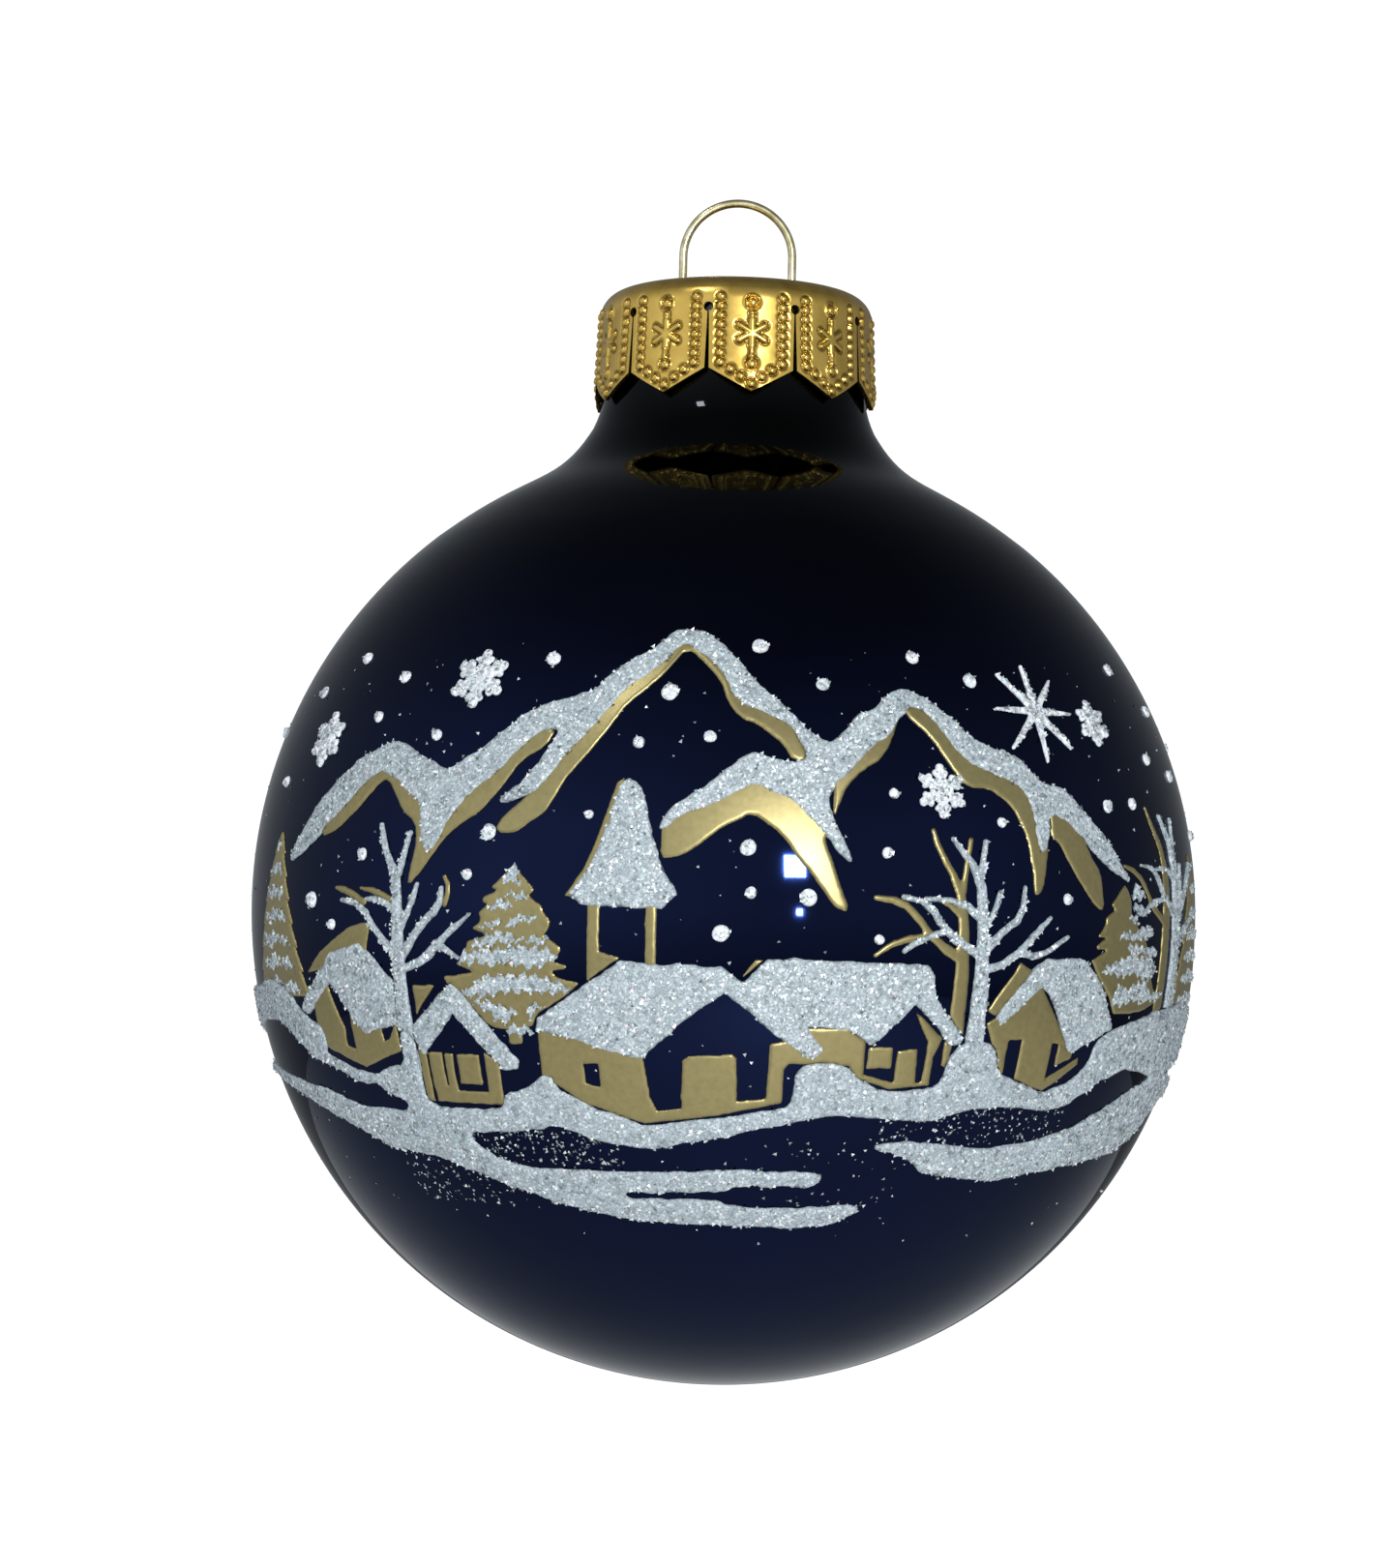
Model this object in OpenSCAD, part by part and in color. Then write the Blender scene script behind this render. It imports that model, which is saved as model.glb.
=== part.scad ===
// Souvenir glass christmas ball: blown ball with silvering, lacquer and a printed winter
// village, a stamped crown cap with ten petals, and a sprung wire hanger.
// Millimetres. The origin is the hang point, at the inside top of the wire loop; the ball
// hangs along -Z and the front of the print faces -Y.

/* [Ball] */
// Outside diameter of the decorated ball
ball_d = 67; // [57:1:80]
// Thickness of the blown glass
glass_wall = 0.6; // [0.4:0.1:1.2]
// Outside radius of the neck
neck_r = 9.2; // [8:0.1:11]
// Radius of the hollow curve between ball and neck
neck_fillet = 8.5; // [3:0.5:10]

/* [Cap] */
// Height of the cap's top plate above the ball's centre
cap_top = 44.2; // [42:0.1:46]
// Thickness of the stamped sheet
sheet = 0.3; // [0.2:0.05:0.5]
// Number of petals
petals = 10; // [8:1:12]

/* [Hanger] */
// Thickness of the wire
wire_d = 0.6; // [0.5:0.1:1]
// Radius of the loop along the middle of the wire
loop_r = 3.93; // [3:0.01:5]
// Height of the loop's centre above the ball's centre
loop_z = 47.1; // [45:0.01:49]

/* [Print] */
// Height of the glitter snow above the lacquer
snow_t = 0.3; // [0.1:0.05:0.5]
// Height of the gold paint above the lacquer
gold_t = 0.12; // [0.05:0.01:0.3]

/* [Hidden] */
$fn = 96;
art_r = 33.5;               // the print is drawn in mm on a ball of this radius
ball_r = ball_d / 2;
coat = 0.1;                 // lacquer and silvering thickness
gap = 0.01;                 // hairline between the skins
glass_r = ball_r - coat - gap;
fillet_z = sqrt(pow(glass_r + neck_fillet, 2) - pow(neck_r + neck_fillet, 2));
neck_top = cap_top - sheet - 1;    // the rim stays clear of the cap's rounded corner
hang_z = loop_z + loop_r - wire_d / 2;
print_r = ball_r + gap;
flat_r = ball_r + snow_t / 2;
half_turn = art_r * PI;     // the scene repeats after this many mm round the ball
wing = half_turn / 2;       // middle of the stretch between the two scenes

gold = [0.72, 0.66, 0.42];
snow = [0.84, 0.87, 0.90];

module at_hang() translate([0, 0, -hang_z]) children();

// ---------- ball ----------
// Half outline of the ball and neck, taken in from the glass surface by t
module ball_half(t, top) {
  intersection() {
    union() {
      circle(glass_r - t);
      translate([0, 20]) square([neck_r - t, top - 20]);
      difference() {
        polygon([[1, fillet_z - 8], [(neck_r + neck_fillet) * glass_r / (glass_r + neck_fillet),
          fillet_z * glass_r / (glass_r + neck_fillet)], [neck_r + neck_fillet, fillet_z], [1, fillet_z]]);
        translate([neck_r + neck_fillet, fillet_z]) circle(neck_fillet + t);
      }
    }
    translate([0, -100]) square([100, 100 + top]);
  }
}

module skin(t_out, t_in, top) at_hang() rotate_extrude() difference() {
  ball_half(t_out, top);
  ball_half(t_in, top + 5);
}

module glass_ball() color([0.75, 0.8, 0.85, 0.4]) skin(0, glass_wall, neck_top);
module silver_lining() color([0.82, 0.83, 0.85])
  skin(glass_wall + gap, glass_wall + gap + coat, neck_top - 2);
module blue_lacquer() color([0.03, 0.06, 0.2]) skin(-gap - coat, -gap, neck_top - 3);

// ---------- cap ----------
module cap_half(t) {
  r_top = neck_r + 0.6 - t;
  r_low = neck_r + 0.85 - t;
  z_edge = cap_top - 1.8;
  polygon([[0, cap_top - t], [r_top - 1.8 + t, cap_top - t], [r_top, z_edge], [r_low, cap_top - 6],
    [r_low + 0.15, cap_top - 8.4], [0, cap_top - 8.4]]);
  intersection() {
    translate([r_top - 1.8 + t, z_edge]) circle(1.8 - t);
    translate([0, z_edge]) square([20, 5]);
  }
}

module petal_turn() for (i = [0:petals - 1]) rotate([0, 0, 6.5 + i * 360 / petals]) children();

module crown_cap() color([0.85, 0.68, 0.3]) at_hang() difference() {
  union() {
    rotate_extrude() difference() {
      cap_half(0);
      cap_half(sheet);
      translate([0, cap_top - 9]) square([8, 2]);
    }
    // stamped motif in the middle of each petal: two bosses and a six-armed flake
    petal_turn() {
      translate([0, -neck_r - 0.55, cap_top - 2.1]) sphere(0.5);
      translate([0, -neck_r - 0.82, cap_top - 6.3]) sphere(0.4);
      for (a = [0, 60, 120]) translate([0, -neck_r - 0.7, cap_top - 4.1]) rotate([0, a, 0])
        cube([0.34, 0.5, 2.5], center = true);
    }
  }
  // inside kept clear of the bosses
  rotate_extrude() cap_half(sheet);
  rotate([0, 0, 180 / petals]) petal_turn() {
    // slit between two petals, the round hole at its top and the V at its foot
    translate([-0.15, -20, cap_top - 12]) cube([0.3, 20 - neck_r + 1.5, 9.6]);
    translate([0, 0, cap_top - 2.4]) rotate([90, 0, 0]) translate([0, 0, neck_r - 1.5]) cylinder(r = 0.4, h = 10);
    translate([0, -neck_r + 1.5, 0]) rotate([90, 0, 0]) linear_extrude(height = 10)
      polygon([[0, cap_top - 6.6], [3.4, cap_top - 8.6], [3.4, cap_top - 12], [-3.4, cap_top - 12],
        [-3.4, cap_top - 8.6]]);
  }
  // two holes for the hanger's legs
  for (s = [-1, 1]) translate([s * loop_r, 0, cap_top - 2]) cylinder(r = wire_d / 2 + 0.25, h = 4);
}

// ---------- hanger ----------
leg_turn = 25;                          // how far the legs spread inside the neck
leg_foot = cap_top - sheet - 0.5;       // where the straight leg ends and the spread starts
module wire_hanger() color([0.8, 0.8, 0.78]) at_hang() {
  translate([0, 0, loop_z]) rotate([90, 0, 0]) rotate_extrude(angle = 180)
    translate([loop_r, 0]) circle(wire_d / 2, $fn = 24);
  for (s = [0, 180]) rotate([0, 0, s]) translate([loop_r, 0, leg_foot]) {
    cylinder(d = wire_d, h = loop_z - leg_foot, $fn = 24);
    sphere(d = wire_d + 0.02, $fn = 24);    // the bend
    rotate([0, 180 - leg_turn, 0]) cylinder(d = wire_d, h = 9.4, $fn = 24);
  }
}

// ---------- print ----------
// Points are [mm round the equator from the front, mm up the ball's meridian].
function turn(mm) = mm / art_r * 180 / PI;
function flat(pts, mid = 0) = [for (p = pts)
  [flat_r * cos(turn(p[1])) * sin(turn(p[0] - mid)), flat_r * sin(turn(p[1]))]];
function unit(v) = v / max(norm(v), 0.001);
function side_of(v) = [-v[1], v[0]];
// Closed outline of a branch drawn as [u, v, width] points
function branch(b) = let (n = len(b),
    way = [for (i = [0:n - 1]) unit([b[min(i + 1, n - 1)][0] - b[max(i - 1, 0)][0],
      b[min(i + 1, n - 1)][1] - b[max(i - 1, 0)][1]])])
  concat([for (i = [0:n - 1]) [b[i][0], b[i][1]] + side_of(way[i]) * b[i][2] / 2],
    [for (i = [n - 1:-1:0]) [b[i][0], b[i][1]] - side_of(way[i]) * b[i][2] / 2]);

// Raises flat shapes as a skin of thickness t on the ball, on both sides of the ornament
module relief(t, mid = 0) at_hang() for (s = [0, 180]) rotate([0, 0, s + turn(mid)])
  intersection() {
    difference() { sphere(print_r + t); sphere(print_r); }
    translate([0, -2, 0]) rotate([90, 0, 0]) linear_extrude(height = ball_r + 3) children();
  }
module shape(pts, mid = 0) polygon(flat(pts, mid));

mountain = [[-35, 2.6], [-34.4, 3.6], [-32, 6.4], [-30, 8], [-28, 9.4], [-26.5, 10.1], [-25, 10.6],
  [-24, 10.6], [-21.5, 9.5], [-19.5, 8.7], [-19, 8.8], [-17, 10.1], [-15, 11.7], [-12, 13.4],
  [-9.2, 14.2], [-8.5, 15], [-7, 16.3], [-5.5, 17.1], [-4, 18.6], [-3, 18.7], [-1.5, 18.5], [0, 17.2],
  [2, 14.9], [5.5, 11.6], [6.6, 10.8], [7.2, 10.9], [8.8, 12.7], [10, 13.1], [12, 14.7], [13, 14.7],
  [14.5, 14], [16, 12.7], [18, 11.1], [21, 10.3], [22, 9.2], [23, 8.6], [25, 8.3], [26, 7.2],
  [28, 5.6], [30.8, 2.6], [30.7, 2.4], [27.3, 4], [25, 5.8], [23, 6.8], [22.7, 5.5], [22.4, 4.3],
  [21.7, 4.2], [21.5, 6.3], [20.9, 7.9], [20.4, 8.4], [16.5, 9.8], [15.4, 11], [14.2, 12.9],
  [13.3, 13.5], [12.4, 13.1], [11.3, 11.7], [8.8, 9.8], [7, 7.9], [6.5, 6.8], [7.8, 4.2], [8.2, 2.9],
  [7.3, 3.6], [5.2, 6], [4.2, 7], [1.8, 8], [0, 7], [-2.7, 5.8], [-4, 4.8], [-4.2, 5.1], [-3.3, 6.6],
  [-1.5, 7.6], [1.2, 9.8], [2, 10], [3.5, 9.5], [4.8, 9.4], [5.4, 9.9], [4, 11.9], [0.7, 13.4],
  [-0.5, 15.7], [-1.6, 16.6], [-3, 17.4], [-4.7, 16], [-7.2, 14], [-9.2, 11.2], [-11.2, 8.6],
  [-12, 7.6], [-13.2, 6.8], [-15.3, 6.4], [-14, 7.5], [-12.7, 8.8], [-11.3, 11.3], [-12.2, 11.4],
  [-14.5, 9.3], [-17.8, 6.5], [-18.6, 5.4], [-19.3, 3.8], [-20.3, 3.1], [-20.9, 5], [-21.3, 6.6],
  [-23.8, 8.1], [-25, 8.5], [-25.8, 8.4], [-27.2, 7.4], [-29, 5.8], [-31, 4.5], [-33, 3.2], [-35, 2.5]];
mountain_shade = [
  [[-31, 4.2], [-29, 4.7], [-27, 6.2], [-25.2, 7.9], [-24.6, 8.1], [-22.7, 5.9], [-21.4, 5.2],
   [-21.6, 1], [-20.2, 2.4], [-19, 4], [-16.3, 5.9], [-15, 7.4], [-13.7, 9.4], [-12.2, 10.1],
   [-11.5, 11.5], [-15, 11], [-19, 8], [-25, 10], [-31, 6]],
  [[-15, 5.2], [-14.9, 4.5], [-13.8, 4.5], [-11.4, 6.3], [-10.6, 7.9], [-8, 11.3], [-6.8, 13.2],
   [-3.8, 16.2], [-3, 17.2], [0, 13.4], [0.8, 12.3], [3.7, 10.6], [4.4, 9.4], [5.4, 9.7],
   [4, 13], [0, 16], [-3, 18.2], [-8, 14], [-12, 8]],
  [[-4, 3.2], [-3.4, 3.1], [-2, 3.6], [-0.7, 4.8], [1.6, 6.1], [3.5, 4.9], [4.6, 3.4], [6.8, 0.5],
   [7.3, 0.1], [7.9, 0.1], [7.2, 2], [6.3, 4.8], [7, 5], [3, 8.5], [0, 8], [-4, 5.4]],
  [[12.4, 12.9], [13.8, 11.7], [15.9, 8.6], [16.5, 8.2], [18, 8.2], [19.7, 7.1], [20.7, 5.2],
   [21.1, 1.7], [21.6, 1.3], [22, 3], [22.6, 4.8], [22, 9], [15, 12.5], [13, 14], [12.4, 13.6],
   [10, 12], [7, 9], [6.9, 5.9], [7.1, 6.4], [7.8, 7.9], [9, 9.1], [10.3, 9.8], [11.2, 11.2]],
  [[22.9, 4.9], [23.4, 5.1], [24.3, 3.6], [25.7, 1.9], [27, 0.7], [27.8, 0.5], [27.5, 3],
   [26, 5.6], [23, 7.4]]];

roofs = [
  [[-6.5, 8.2], [-5.9, 8.2], [-5.4, 7.6], [-4.6, 5], [-3.6, 2.2], [-2.8, 0.9], [-3.8, 0], [-9, 0.1],
   [-9.7, 0.9], [-8.6, 2.3], [-7, 6.8]],
  [[-12.2, -7.9], [-12, -7], [-8, -4.4], [-6.4, -3.3], [0, -3.5], [1.4, -4.5], [2.8, -2.9],
   [12.5, -3.1], [13.8, -3.8], [14, -5.2], [16.4, -7.8], [15.4, -8.2], [13.5, -6.3], [12.6, -5.7],
   [10, -8.3], [8.3, -7.3], [5.8, -7.4], [6.7, -8.6], [5.7, -9.1], [2.5, -6.9], [0.2, -5.1],
   [-2.5, -7.1], [-5.3, -9.5], [-7.5, -9]],
  [[21.2, -3.4], [22.5, -2.6], [26, -2.6], [28.3, -4.6], [30, -7.2], [28, -8], [26, -8.8],
   [25.5, -8.6], [23, -5], [22.2, -4.4], [20.4, -5.9], [19, -7.1], [18.5, -6.4]],
  [[-33.8, -7.3], [-33, -6.3], [-30, -4.1], [-29.3, -3.3], [-26, -2.6], [-23, -5], [-23, -7.9],
   [-26.3, -8.7], [-27.3, -7.8], [-28.8, -6], [-29.6, -5.3], [-31, -6.3], [-33, -7.6]],
  [[-22, -8.2], [-20, -6.5], [-18.2, -5], [-17.5, -5.5], [-13.5, -9.9], [-13.6, -10.5],
   [-14.7, -10.5], [-18.2, -7], [-21, -9.8]]];
walls = [
  [[-8.5, 0.5], [-8.5, -4.6], [-6.6, -3.4], [-7.7, -2.9], [-7.7, 0.5]],
  [[-4.8, 0.5], [-4.8, -3.6], [-4.1, -3.6], [-4.1, 0.5]],
  [[-12, -7.5], [-5, -9], [-4.6, -12], [-4.1, -12.9], [-2.5, -12.7], [-2.4, -9.5], [-2, -9.2],
   [0.8, -9], [1.1, -9.3], [1.2, -12.1], [3.1, -11.9], [3.2, -8.3], [4.5, -8], [5.6, -7.2],
   [8.3, -7.2], [9.5, -8], [9.5, -10.2], [11.7, -10.7], [11.7, -8.6], [13.1, -8.5], [13.3, -10.7],
   [13.7, -10.7], [13.8, -8], [12.4, -5.8], [14.8, -7.8], [14.3, -9], [14.3, -10.9], [11.5, -11.2],
   [9, -10.4], [8.5, -9.6], [4.5, -9.6], [4.2, -10], [4.2, -12.2], [0, -13.1], [-5, -13.8],
   [-9, -12.6], [-11.9, -10.8]],
  [[9.7, -8.4], [11.4, -8.4], [11.4, -9.8], [9.7, -9.8]],
  [[15, -8], [15.6, -8.2], [15.4, -9.8], [15, -9.6]],
  [[1.2, -4.2], [2.1, -3], [2.7, -3]],
  [[20.2, -2.9], [17.9, -6], [18.6, -6.4], [21.3, -3.4]],
  [[18, -6.8], [22, -4.2], [25.4, -8.3], [23.9, -8.1], [24, -10.5], [26.9, -9.1], [27, -9.6],
   [24, -11.4], [21.1, -10.6], [21.1, -7.9], [20, -7.9], [20, -10.2], [19.5, -9.9]],
  [[24.6, -8.2], [26.2, -8.6], [26, -9.2], [24.6, -9.7]],
  [[-32, -7], [-30, -5.4], [-28.6, -8.4], [-28.7, -9.5], [-27.7, -9.7], [-27.8, -7.2], [-24.6, -8],
   [-24.6, -9.1], [-24, -8.9], [-23.2, -7.6], [-23, -9.6], [-27, -10.95], [-32, -9.5]],
  [[-32.5, -4.8], [-30.5, -3.3], [-27, -1.6], [-24.9, -1.2], [-25.4, -3.2], [-30, -4.4]],
  [[-21.5, -8.4], [-20.8, -9.6], [-18.6, -9.6], [-18.6, -12.1], [-16.1, -12.1], [-16.1, -9.4],
   [-15, -10], [-15, -12.95], [-21.5, -12.95]],
  [[-18.3, -9.6], [-16.5, -9.6], [-16.5, -11.6], [-18.3, -11.6]],
  [[-21.3, -5.2], [-19.5, -5.2], [-21.2, -7.2]]];

// What the small front house hides of the pine behind it
front_house = [[-22.2, -8.2], [-18.2, -5.2], [-13.5, -9.9], [-14, -10.8], [-22.2, -10.8]];

// Pines: the dark gold silhouette and the snow lying on its boughs
function pine(x, top, w, h) = [for (i = [0:6]) each [
  [x - w * (i + 0.15) / 14, top - h * i / 7], [x - w * (i + 1.5) / 14, top - h * (i + 1) / 7]]];
function pine_right(x, top, w, h) = [for (i = [6:-1:0]) each [
  [x + w * (i + 1.5) / 14, top - h * (i + 1) / 7], [x + w * (i + 0.15) / 14, top - h * i / 7]]];
pines = [[-13.6, 2.6, 8.2, 10.4], [30.2, 2.3, 7.4, 8.8]];
wing_pines = [[wing - 9.6, 4.6, 8.4, 10.2], [half_turn - 37.2, 4.6, 8.6, 10]];
module pine_shapes(list, mid = 0) for (p = list)
  shape(concat(pine(p[0], p[1], p[2], p[3]), pine_right(p[0], p[1], p[2], p[3])), mid);
module pine_boughs(list, mid = 0) for (p = list) for (i = [1:6])
  let (y = p[1] - p[3] * (i + 0.4) / 7, a = p[2] * (i + 0.2) / 15)
    shape([[p[0] - a, y - 0.35], [p[0] - a * 0.5, y + 0.35], [p[0] + a * 0.2, y + 0.15],
      [p[0] + a, y - 0.2], [p[0] + a * 0.3, y - 0.35], [p[0] - a * 0.3, y - 0.15]], mid);

// Bare trees: each branch is a line of [u, v, width]
tree_right = [[[17.2, -8.2, 1.4], [17.2, -3, 1], [17.1, 0, 0.8], [16.9, 2.6, 0.7], [15, 4.8, 0.3]],
  [[16.9, 2.4, 0.6], [17.4, 4.7, 0.3]], [[17, -0.2, 0.6], [15.5, 0.9, 0.5], [13, 1, 0.3]],
  [[16.9, -2.5, 0.6], [14.3, -1, 0.6], [13.3, 0.7, 0.5], [11.5, 1.1, 0.3]],
  [[14.4, -1, 0.5], [12.5, -1.6, 0.4], [11.6, -2.3, 0.3]],
  [[17.1, -0.9, 0.5], [18, 0.3, 0.4], [18.4, 1.5, 0.3]],
  [[17.4, -2.1, 0.6], [18.9, -0.7, 0.5], [20.1, -0.1, 0.5], [20.4, 1.9, 0.3]],
  [[17.4, -3.4, 0.6], [19.3, -2.9, 0.5], [21.5, -0.9, 0.5], [22.6, 0, 0.3]],
  [[20.2, -2.2, 0.5], [21.6, -2.6, 0.4], [24.2, -1.2, 0.3]]];
tree_right_gold = [[[15.7, -7.5, 1.2], [15.7, -3, 1], [15.7, 0, 0.7], [15.3, 1.9, 0.6], [14, 4, 0.4], [13.6, 5.3, 0.3]],
  [[15.6, 1.5, 0.5], [16, 3.5, 0.4], [16.3, 4.8, 0.3]],
  [[15.8, -2.9, 0.7], [13.5, -1.5, 0.6], [12.3, 0, 0.5], [11.3, 0.8, 0.5], [9.6, 1, 0.3]],
  [[13.2, -1.3, 0.5], [11, -1.7, 0.4], [9.7, -2.6, 0.3]],
  [[15.8, -0.4, 0.5], [15, 0.5, 0.5], [13.8, 1, 0.3]]];
tree_left = [[[-22.2, -10.6, 1.5], [-22.3, -7, 1.2], [-22.4, -2, 0.9], [-22.5, 1.8, 0.7], [-23.5, 2.8, 0.5], [-24.4, 5, 0.3]],
  [[-22.4, 1.9, 0.5], [-21.7, 4.5, 0.3]], [[-22.4, -0.7, 0.5], [-23.8, 0.2, 0.5], [-25.3, 0.2, 0.3]],
  [[-22.5, -3.3, 0.6], [-24.3, -2, 0.5], [-25.8, -0.1, 0.5], [-27.8, 0.1, 0.3]],
  [[-22.3, -1.9, 0.5], [-21.2, 0, 0.4], [-20.8, 1.2, 0.3]],
  [[-22.1, -3.6, 0.6], [-20.5, -1.4, 0.5], [-18.9, -0.2, 0.5], [-18.8, 1, 0.3]],
  [[-22, -4.2, 0.6], [-20, -3.5, 0.6], [-19, -2.4, 0.5], [-16.6, -0.6, 0.3]],
  [[-19.2, -2.5, 0.5], [-17.5, -3.4, 0.3]]];
tree_left_gold = [[[-28.5, 0.9, 0.3], [-27.2, 0.7, 0.5], [-25.6, 0, 0.5]],
  [[-25.9, 0.9, 0.3], [-24.3, 0.7, 0.5], [-22.7, 0, 0.5]],
  [[-18.6, 1.7, 0.3], [-18.2, 1, 0.4], [-18.5, 0, 0.4]]];
tree_wing = [[[38.4, -7, 1.6], [38.3, -3, 1.3], [38.2, 0.6, 1.1], [38.1, 4.6, 0.8], [36.4, 7, 0.4]],
  [[38.1, 4.4, 0.6], [38.7, 6.9, 0.3]], [[38, 2.8, 0.6], [36.6, 3.5, 0.5], [34.9, 3.4, 0.3]],
  [[37.9, 0.4, 0.7], [36.2, 1.2, 0.6], [35, 2.8, 0.5], [34.1, 3.5, 0.4], [32.5, 3.6, 0.3]],
  [[36, 1.4, 0.5], [34, 1.2, 0.5], [32.6, 0.3, 0.4]], [[38.6, 0.2, 0.7], [40.4, 1.8, 0.6], [42.5, 3.9, 0.4]],
  [[38.9, 0.6, 0.6], [39.6, 3.8, 0.4]], [[38.7, -1.6, 0.7], [41, -0.2, 0.5], [43.8, 0.6, 0.3]]];
tree_wing_gold = [[[36.3, -7, 1.3], [36.3, -2, 1.2], [36.5, 2, 1.1], [36.3, 4.4, 0.8], [35.1, 6, 0.6], [34.3, 7.5, 0.4]],
  [[36.2, -0.2, 0.7], [34, 0.9, 0.6], [33.2, 2, 0.5], [32, 3.1, 0.5], [30.3, 3.5, 0.3]]];
module trees(list, mid = 0) for (b = list) shape(branch(b), mid);

// Drifts of snow on the ground
village_drift = [[-37, -6.3], [-35, -7.1], [-34, -7.4], [-32.3, -8.2], [-32, -9.6], [-31.5, -10.2],
  [-29, -11], [-26, -11.4], [-25, -10.8], [-22.9, -10.6], [-22.9, -8], [-21.6, -8.6], [-21.6, -12.9],
  [-20, -13.4], [-15.2, -13.2], [-14.9, -12], [-13.6, -11.9], [-11.4, -10.6], [-11, -11.6],
  [-9, -12.8], [-5, -14], [0, -13.3], [4.9, -12.4], [5, -9.7], [7, -9.4], [8.3, -9.7], [9.3, -10.6],
  [11, -11.3], [15, -11.1], [15.5, -9], [16.4, -7.9], [19, -8.2], [19.6, -10.1], [22, -10.8],
  [24, -11.5], [26.5, -10.8], [28.2, -9.6], [28.5, -8], [30, -7.4], [37, -6], [37, -10.5],
  [33, -10], [31, -10.3], [29, -11.4], [27, -12.4], [25, -12.8], [20, -12.4], [18, -12.6],
  [15, -13.4], [8, -13], [5, -13.5], [0, -14.7], [-3, -15.3], [-5, -15.7], [-8.5, -15.1],
  [-11.5, -14.1], [-13, -14.6], [-18.2, -15], [-18.5, -15.5], [-16.5, -16.9], [-14, -17.4],
  [-4, -17.3], [2, -17], [7, -17.1], [7.9, -17.4], [7, -18.2], [1.5, -18.2], [0.3, -18.7],
  [-7, -18.9], [-6.8, -19.4], [-0.5, -19.3], [2, -19.9], [6, -19.9], [10.5, -19.5], [11.4, -20],
  [9, -21.2], [6, -21.5], [-6, -21.2], [-12, -20.1], [-18, -18.3], [-22, -17], [-26.5, -16.7],
  [-30.5, -15.3], [-34, -14.4], [-37, -13.5], [-37, -12.5], [-33, -12.8], [-29, -13.7],
  [-24, -13.8], [-23.3, -13.2], [-25, -12.6], [-29, -11.8], [-33, -10.8], [-35, -9.7], [-37, -8.5]];
right_drift = [[10.8, -15.2], [13, -14.8], [16.8, -15], [20, -15.5], [25, -15], [29, -14],
  [34, -12.1], [37, -11.1], [37, -16.3], [32, -16.9], [26, -17.4], [22, -17.9], [15.5, -17.2],
  [14, -16.1]];
wing_drift = [[30, -7.4], [36, -6.1], [42, -5.6], [48, -6], [wing, -6.2], [62, -5.9], [66, -5.8],
  [71, -7.6], [74, -8.5], [74, -10.2], [70.2, -9.7], [67, -8.2], [62, -8.2], [wing, -9.8], [45, -10.4],
  [38.8, -10.7], [45, -10.8], [wing, -11.4], [60, -11.7], [66, -12.2], [72.2, -12.8], [75, -13.4],
  [75, -15], [71.3, -14.4], [67.3, -13.4], [60, -12.2], [wing, -12.4], [45, -12.7], [43, -13.2],
  [40, -15.4], [36, -16.4], [30, -17], [30, -13.5], [38.8, -10.75], [36, -10.4], [33, -10],
  [30, -10.9]];
module wedge(mid, half) rotate([0, 0, turn(mid)]) translate([0, 0, -120]) linear_extrude(height = 160)
  polygon([[0, 0], [-60 * sin(turn(half)), -60 * cos(turn(half))], [0, -90],
    [60 * sin(turn(half)), -60 * cos(turn(half))]]);

// Small marks in the sky
dots = [[-26, 15.3, 0.55], [-27.4, 12.4, 0.5], [-21, 11, 0.5], [-12.9, 16.4, 0.55], [2.3, 17.5, 0.6],
  [13.8, 17.1, 0.55], [6.6, 14.8, 0.5], [18.2, 15.6, 0.55], [-4, 14, 0.65], [-5.8, 10.5, 0.45],
  [-1.1, 11, 0.45], [11, 7.6, 0.42], [18.8, 6, 0.45], [29.1, 7.4, 0.5], [32.4, 7.7, 0.5],
  [-8.7, 5.8, 0.4], [-15.5, 4.6, 0.6], [1.5, 3.9, 0.6], [10.4, 3.8, 0.45], [1.7, 1.1, 0.45],
  [5.3, 0.9, 0.6], [-0.1, -1.4, 0.6], [9.9, -1.6, 0.42], [24.1, 1.2, 0.45], [-26, 3.1, 0.45],
  [-29, -1.5, 0.45], [-31.5, 0.1, 0.6], [-16.9, 1.9, 0.45], [-32.4, 17, 0.5], [-37.5, 14.6, 0.5],
  [-38.7, 8.1, 0.5], [36.5, 17.6, 0.5], [36.8, 11, 0.5], [41.8, 10, 0.5], [42, 14.8, 0.5],
  [48, 6, 0.5], [-47, 12, 0.5], [51, 12.5, 0.5]];
flakes = [[-18.6, 15, 2.1], [-33.2, 11, 1.9], [14.4, 7.9, 1.7], [29.6, 13.1, 1.8]];
star_at = [23.6, 13.6];
function star_outline(tips, r_in) = [for (i = [0:7]) each [
  [tips[i] * sin(i * 45), tips[i] * cos(i * 45)], [r_in * sin(i * 45 + 22.5), r_in * cos(i * 45 + 22.5)]]];

// A small mark stands on its own spot of the ball, facing straight out
module spot(p, t) at_hang() for (s = [0, 180]) rotate([0, 0, s + turn(p[0])]) rotate([-turn(p[1]), 0, 0])
  intersection() {
    difference() { sphere(print_r + t); sphere(print_r); }
    rotate([90, 0, 0]) linear_extrude(height = ball_r + 3) children();
  }
module flake(r) union() {
  circle(r * 0.55, $fn = 24);
  for (a = [0, 60, 120]) rotate(a) square([r * 1.5, r * 0.42], center = true);
  for (a = [0:60:300]) rotate(a) translate([r * 0.76, 0]) circle(r * 0.24, $fn = 24);
}

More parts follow.
